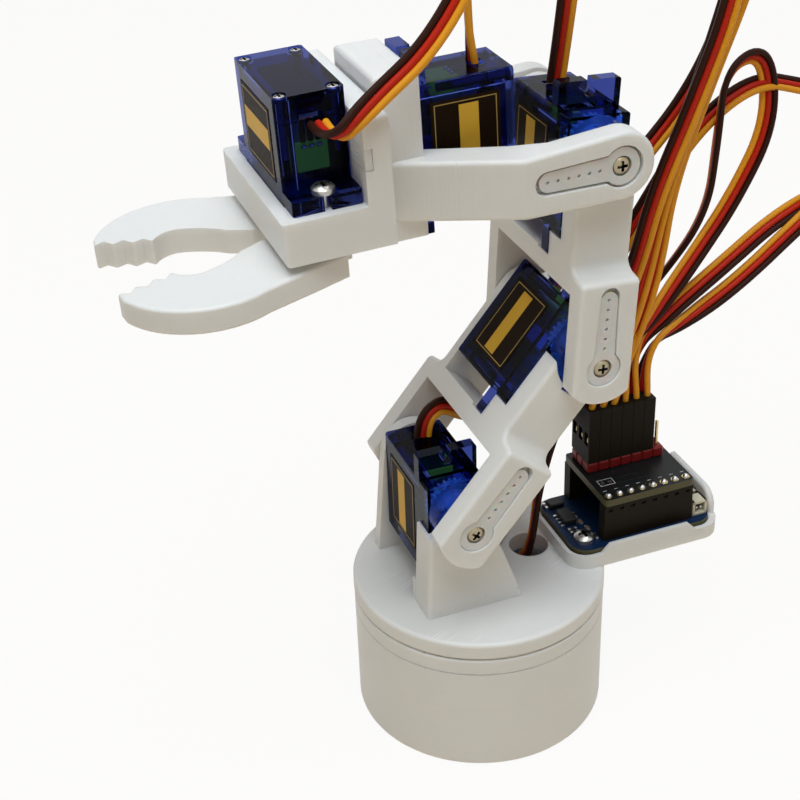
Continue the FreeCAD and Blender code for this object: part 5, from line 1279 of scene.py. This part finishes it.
SERVOS = (
    Servo("shoulder", Body.WAIST, Place((8.7, -12.4, 54.4), (0.0, 0.0, 1.0), (0.0, 1.0, 0.0))),
    Servo("elbow", Body.UPPER_ARM, Place((ELBOW[0], -12.4, ELBOW[2]), UPPER_UP, (0.0, 1.0, 0.0))),
    Servo("wrist", Body.FOREARM, Place((WRIST[0], -12.4, WRIST[2]), FORE_UP, (0.0, 1.0, 0.0))),
    Servo("roll", Body.HAND, Place(hand_point(13.5, 0.0, 10.0), HAND_Z, HAND_X), -1.0),
    Servo("gripper", Body.GRIPPER, Place(hand_point(51.15, 5.35, 20.55), (0.0, 1.0, 0.0),
                                         tuple(-v for v in HAND_Z))),
)


@dataclass
class HornTips:
    """The squared tips of the roll horn, flush in the gripper plate's open slots, in the hand's millimetres.

    Attributes:
        low: the lowest corner of the near tip.
        high: its highest corner.
        bevel: the softening of its edges.
    """

    low: Point = (43.65, 15.7, 8.15)
    high: Point = (44.95, 17.86, 11.85)
    bevel: float = 0.12

    def build(self) -> bpy.types.Object:
        """Makes both tips, each the other's mirror."""
        part = Sculpt(Place(WRIST, HAND_X, HAND_Z))
        part.block(self.low, self.high, Paint.NYLON, self.bevel)
        part.block((self.low[0], -self.high[1], self.low[2]), (self.high[0], -self.low[1], self.high[2]),
                   Paint.NYLON, self.bevel)
        return part.finish("roll_horn_tips", Body.GRIPPER, Slot.NYLON)


@dataclass
class ControlBoards:
    """The small parts on the controller board and on its plug-in board, in millimetres.

    Attributes:
        top: the main board's upper face.
        module: the plug-in board's upper face.
        pin: the pin pitch.
        columns: how many columns of pins the red header has.
        first_plug: the front face of the first plug.
        plug_near: the plugs' near face.
        plug_foot: the plugs' lower face.
        near_row: the plug-in board's near row of pins, along Y.
        first_pin: the first pin of that row, along X.
        row_pins: how many pins that row has.
        socket_x: the span of the cream sockets along X.
        socket_y: the middle of each along Y.
        socket_half: half their width.
        socket_wall: their wall.
        socket_height: how tall they are.
        ink: the thickness of printed marks.
        mark: the width of printed lines.
    """

    top: float = 35.5
    module: float = 45.7
    pin: float = 2.54
    columns: int = 7
    first_plug: float = -25.5
    plug_near: float = -1.5
    plug_foot: float = 48.25
    near_row: float = 7.15
    first_pin: float = -25.86
    row_pins: int = 8
    socket_x: tuple[float, float] = (-48.9, -45.5)
    socket_y: tuple[float, float] = (6.2, 2.2)
    socket_half: float = 1.75
    socket_wall: float = 0.6
    socket_height: float = 3.4
    ink: float = 0.03
    mark: float = 0.16

    def header(self) -> bpy.types.Object:
        """Makes the red servo header, its pins and springs, and the two cream sockets.

        Returns:
            The new piece.
        """
        part = Sculpt()
        half = self.pin / 2
        for column in range(self.columns):
            x = self.first_plug - (column + 0.5) * self.pin
            for row in range(3):
                y = self.plug_near - (row + 0.5) * self.pin
                part.block((x - half, y - half, self.module), (x + half, y + half, self.module + 2.5),
                           Paint.RED, 0.35, 1)
                part.block((x - 0.3, y - 0.3, self.module + 2.0), (x + 0.3, y + 0.3, self.module + 8.4),
                           Paint.PIN, 0.12, 1)
        for y in self.socket_y:
            self.socket(part, y)
        made = part.finish("servo_header_detail", Body.WAIST, Slot.HEADER)
        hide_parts("board_connectors")
        return made

    def socket(self, part: Sculpt, middle: float) -> None:
        """Adds a small cream socket that is open to the near side, with a black sheet of painted shade at the back
        of its mouth.

        Args:
            part: the piece that it goes into.
            middle: its middle along Y.
        """
        left, right = self.socket_x
        far, near = middle - self.socket_half, middle + self.socket_half
        low, high, wall = self.top, self.top + self.socket_height, self.socket_wall
        part.block((left, far, low), (right, near, low + wall), Paint.CREAM, 0.08, 1)
        part.block((left, far, high - wall), (right, near, high), Paint.CREAM, 0.08, 1)
        part.block((left, far, low), (left + wall, near, high), Paint.CREAM, 0.08, 1)
        part.block((right - wall, far, low), (right, near, high), Paint.CREAM, 0.08, 1)
        part.block((left, far, low), (right, far + wall, high), Paint.CREAM, 0.08, 1)
        # Painted shade: a black sheet at the back of the opening stands in for the shade inside the socket's mouth.
        part.block((left + wall, far + wall, low + wall), (right - wall, far + wall + 0.5, high - wall), Paint.CHIP)
        for share in (0.36, 0.64):
            x = left + (right - left) * share
            part.block((x - 0.2, far + wall, low + 1.4), (x + 0.2, near - 0.5, low + 1.8), Paint.SOLDER)

    def springs(self) -> bpy.types.Object:
        """Makes the metal springs seen in the windows of the plugs.

        Returns:
            The new piece.
        """
        part = Sculpt()
        for column in range(self.columns - 1):
            x = self.first_plug - (column + 0.5) * self.pin + 0.6
            for row in range(3):
                y = self.plug_near - (row + 0.5) * self.pin
                part.block((x, y - 0.4, self.plug_foot + 4.4), (x + 0.25, y + 0.4, self.plug_foot + 5.5),
                           Paint.PIN, 0.1, 1)
        return part.finish("plug_springs", Body.WAIST, Slot.HEADER)

    def chip(self, part: Sculpt, at: tuple[float, float], size: tuple[float, float], pins: int) -> None:
        """Adds a chip with feet along its two long sides.

        Args:
            part: the piece that it goes into.
            at: its middle.
            size: its length along X and along Y.
            pins: how many feet each side has.
        """
        x, y = at
        half_x, half_y = size[0] / 2, size[1] / 2
        part.block((x - half_x, y - half_y, self.top + 0.15), (x + half_x, y + half_y, self.top + 1.5),
                   Paint.CHIP, 0.14, 1)
        for index in range(pins):
            foot = y + (index - (pins - 1) / 2) * (size[1] - 0.8) / max(1, pins - 1)
            for side in (-1, 1):
                edge = x + side * half_x
                tip = edge + side * 0.75
                part.block((min(edge, tip), foot - 0.18, self.top + 0.02),
                           (max(edge, tip), foot + 0.18, self.top + 0.3), Paint.SOLDER)

    def small(self, part: Sculpt, at: tuple[float, float], paint: Paint, turned: bool = False) -> None:
        """Adds a two-ended chip resistor or capacitor.

        Args:
            part: the piece that it goes into.
            at: its middle.
            paint: the finish of its middle.
            turned: whether it lies along Y.
        """
        x, y = at
        middle = (0.42, 0.55) if turned else (0.55, 0.42)
        part.block((x - middle[0], y - middle[1], self.top), (x + middle[0], y + middle[1], self.top + 0.55),
                   paint, 0.06, 1)
        for side in (-0.7, 0.7):
            end = (x, y + side) if turned else (x + side, y)
            part.block((end[0] - 0.28, end[1] - 0.28, self.top), (end[0] + 0.28, end[1] + 0.28, self.top + 0.56),
                       Paint.SOLDER, 0.06, 1)

    def fill(self) -> bpy.types.Object:
        """Makes the chips and small parts of the main board.

        Returns:
            The new piece.
        """
        part = Sculpt()
        self.chip(part, (-20.9, -1.6), (2.6, 4.6), 4)
        self.chip(part, (-35.0, 0.6), (6.2, 6.2), 7)
        part.block((-22.6, -8.4, self.top), (-19.4, -5.8, self.top + 1.3), Paint.CHIP, 0.2, 1)
        for y in (2.2, 3.3):
            self.small(part, (-20.4, y), Paint.RESISTOR)
        for at in ((-23.4, 3.2), (-23.0, 0.6)):
            self.small(part, at, Paint.CERAMIC, True)
        for at in ((-23.0, -2.0), (-23.6, 6.4), (-18.8, -7.4)):
            self.small(part, at, Paint.RESISTOR, True)
        return part.finish("main_board_parts", Body.WAIST, Slot.BLUE_BOARD)

    def pads(self) -> bpy.types.Object:
        """Makes the solder domes and the plain marks of the plug-in board.

        Returns:
            The new piece.
        """
        part = Sculpt()
        for index in range(self.row_pins):
            x = self.first_pin - index * self.pin
            part.drum(0.82, (x, self.near_row, self.module), 0.06, Paint.PIN, 20)
            part.dome(0.62, (x, self.near_row, self.module + 0.05), 0.62, Paint.SOLDER)
            part.block((x - 0.5, self.near_row - 1.9, self.module),
                       (x + 0.3, self.near_row - 1.9 + self.mark, self.module + self.ink), Paint.SILK)
        self.frame_mark(part, (-29.4, 1.4), (-26.0, 3.6))
        for x in (-28.5, -26.9):
            part.drum(0.42, (x, 2.5, self.module), 0.06, Paint.SOLDER, 16)
        return part.finish("plug_in_board_parts", Body.WAIST, Slot.DARK_BOARD)

    def frame_mark(self, part: Sculpt, low: tuple[float, float], high: tuple[float, float]) -> None:
        """Adds a thin white printed outline.

        Args:
            part: the piece that it goes into.
            low: its lowest corner.
            high: its highest corner.
        """
        base, top, width = self.module, self.module + self.ink, self.mark
        part.block((low[0], low[1], base), (high[0], low[1] + width, top), Paint.SILK)
        part.block((low[0], high[1] - width, base), (high[0], high[1], top), Paint.SILK)
        part.block((low[0], low[1] + width, base), (low[0] + width, high[1] - width, top), Paint.SILK)
        part.block((high[0] - width, low[1] + width, base), (high[0], high[1] - width, top), Paint.SILK)

    def build(self) -> None:
        """Makes every small part of the boards."""
        self.header()
        self.springs()
        self.fill()
        self.pads()


def paint_node(node: bpy.types.Object, material: bpy.types.Material) -> None:
    """Gives a CAD node one material in place of its own.

    Args:
        node: the node's object.
        material: the material.
    """
    node.data.materials.clear()
    node.data.materials.append(material)


@dataclass
class Prints:
    """The white printed parts and the way each was stacked on the printer.

    Attributes:
        slant: the raster's direction on faces across Z.
        steep: the raster's direction on faces across X.
    """

    slant: Point = (0.707, 0.707, 0.0)
    steep: Point = (0.0, 0.707, 0.707)

    def finishes(self) -> dict[str, PrintFinish]:
        """Gives each printed node its finish.

        Returns:
            The finishes by node name.
        """
        upright = PrintFinish("print_upright", ROW.z, self.slant)
        # The disc's closing face carries painted glints on its raster dashes.
        disc = PrintFinish("print_disc", ROW.z, (0.42, -0.91, 0.0), 0.00003, 0.00006, 0.00002, 0.75)
        upper = PrintFinish("print_upper_arm", (0.765, 0.0, 0.644), self.steep, 0.00002)
        fore = PrintFinish("print_forearm", (0.998, 0.0, 0.056), self.steep, 0.00002)
        hand = PrintFinish("print_hand", HAND_X, self.steep, 0.00006, 0.00004, 0.00002, pitch=0.00034)
        claw = PrintFinish("print_claw", HAND_Z, self.slant, 0.00001, 0.00001, 0.00006)
        return {
            "base_shell": upright, "base_cover": upright, "waist": disc, "upper_arm": upper, "forearm": fore,
            "hand": hand, "gripper_base": claw, "claw_driven": claw, "claw_idler": claw,
        }

    def dress(self, nodes: dict[str, bpy.types.Object]) -> None:
        """Gives the printed nodes their material.

        Args:
            nodes: the CAD nodes by name.
        """
        made: dict[str, bpy.types.Material] = {}
        for name, finish in self.finishes().items():
            if finish.name not in made:
                made[finish.name] = finish.material()
            paint_node(nodes[name], made[finish.name])


def dress_bought_parts(nodes: dict[str, bpy.types.Object]) -> None:
    """Gives the bought-in nodes their materials: cases, horns, screws and boards.

    Args:
        nodes: the CAD nodes by name.
    """
    endings = {
        "_servo_lid": Paint.CASE, "_servo_case": Paint.CASE, "_gear_cover": Paint.COVER,
        "_servo_innards": Paint.CAN, "_shaft": Paint.NYLON, "_horn": Paint.NYLON, "_screws": Paint.SCREW,
        "_screw": Paint.SCREW, "_sockets": Paint.BLACK, "_plugs": Paint.BLACK, "_connectors": Paint.RED,
        "main_board": Paint.BLUE_BOARD, "module_board": Paint.DARK_BOARD, "_lead": Paint.ORANGE_WIRE,
    }
    for name, node in nodes.items():
        for ending, paint in endings.items():
            if name.endswith(ending):
                paint_node(node, paint.coat())


@dataclass
class Studio:
    """A pale floor, soft lamps and a white background.

    Attributes:
        floor_radius: the floor's radius in metres.
        floor_colour: the light that the floor gives back.
        floor_glow: how white the floor shows, against its shadows.
        fill: the strength of the light from all round.
        fill_colour: its colour.
        key: the power of the main lamp in watts.
        key_colour: its colour.
        key_at: its place in metres.
        key_size: its side in metres.
        aim: the place that the lamps look at.
    """

    floor_radius: float = 3.0
    floor_colour: Colour = (0.78, 0.66, 0.50)
    floor_glow: float = 0.93
    fill: float = 0.185
    fill_colour: Colour = (1.0, 0.89, 0.74)
    key: float = 11.6
    key_colour: Colour = (0.87, 0.945, 1.0)
    key_at: Point = (0.12, 0.22, 1.08)
    key_size: float = 0.9
    aim: Point = (0.0, 0.0, 0.09)

    def seen(self, hand: Shader) -> bpy.types.NodeSocket:
        """Gives 1 for rays that see the background directly, by gloss or through glass."""
        rays = hand.node("ShaderNodeLightPath").outputs
        both = hand.math("ADD", rays["Is Camera Ray"], rays["Is Glossy Ray"])
        return hand.math("ADD", both, rays["Is Transmission Ray"], clamp=True)

    def world(self) -> None:
        """Makes the world white to the camera and even to the object."""
        world = bpy.data.worlds.new("studio")
        bpy.context.scene.world = world
        world.use_nodes = True
        hand = Shader(world.node_tree)
        base = world.node_tree.nodes["Background"]
        seen = self.seen(hand)
        hand.feed(base.inputs["Color"], hand.blend(seen, rgba(self.fill_colour), (1.0, 1.0, 1.0, 1.0)))
        hand.feed(base.inputs["Strength"], hand.span(seen, self.fill, 1.0))

    def floor(self) -> None:
        """Makes the floor, white but for the object's soft shadow."""
        bm = bmesh.new()
        bmesh.ops.create_circle(bm, cap_ends=True, segments=64, radius=self.floor_radius)
        mesh = bpy.data.meshes.new("floor")
        bm.to_mesh(mesh)
        bm.free()
        made = bpy.data.objects.new("floor", mesh)
        made.location.z = -0.0002
        bpy.context.scene.collection.objects.link(made)
        material = bpy.data.materials.new("floor_white")
        material.use_nodes = True
        hand = Shader(material.node_tree)
        surface = material.node_tree.nodes["Principled BSDF"]
        surface.inputs["Base Color"].default_value = rgba(self.floor_colour)
        surface.inputs["Roughness"].default_value = 0.9
        glow = hand.node("ShaderNodeEmission", {"Strength": 1.0})
        share = hand.math("MULTIPLY", self.seen(hand), self.floor_glow)
        mixed = hand.node("ShaderNodeMixShader", {0: share, 1: surface.outputs[0], 2: glow.outputs[0]})
        output = material.node_tree.nodes["Material Output"]
        hand.feed(output.inputs["Surface"], mixed.outputs[0])
        mesh.materials.append(material)
        made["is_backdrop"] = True

    def lamp(self) -> None:
        """Adds the soft square lamp over the arm."""
        light = bpy.data.lights.new("key_lamp", "AREA")
        light.energy = self.key
        light.color = self.key_colour
        light.size = self.key_size
        made = bpy.data.objects.new("key_lamp", light)
        made.location = self.key_at
        made.rotation_mode = "QUATERNION"
        made.rotation_quaternion = (Vector(self.aim) - Vector(self.key_at)).to_track_quat("-Z", "Y")
        bpy.context.scene.collection.objects.link(made)

    def build(self) -> None:
        """Makes the floor, the lamp and the world."""
        self.world()
        self.floor()
        self.lamp()


def main() -> None:
    """Builds the arm's looks in order and reports each piece."""
    logging.basicConfig(level=logging.INFO, format="%(message)s")
    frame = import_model()
    cad_box = tuple(corner.copy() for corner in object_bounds())
    PhotoCamera().build()
    Effects.build()
    for lead in LEADS:
        lead.build()
    nodes = frame["nodes"]
    dress_bought_parts(nodes)
    Prints().dress(nodes)
    for servo in SERVOS:
        servo.build()
    HornTips().build()
    ControlBoards().build()
    Studio().build()
    bpy.context.scene.view_settings.view_transform = "Standard"


if __name__ == "__main__":
    main()
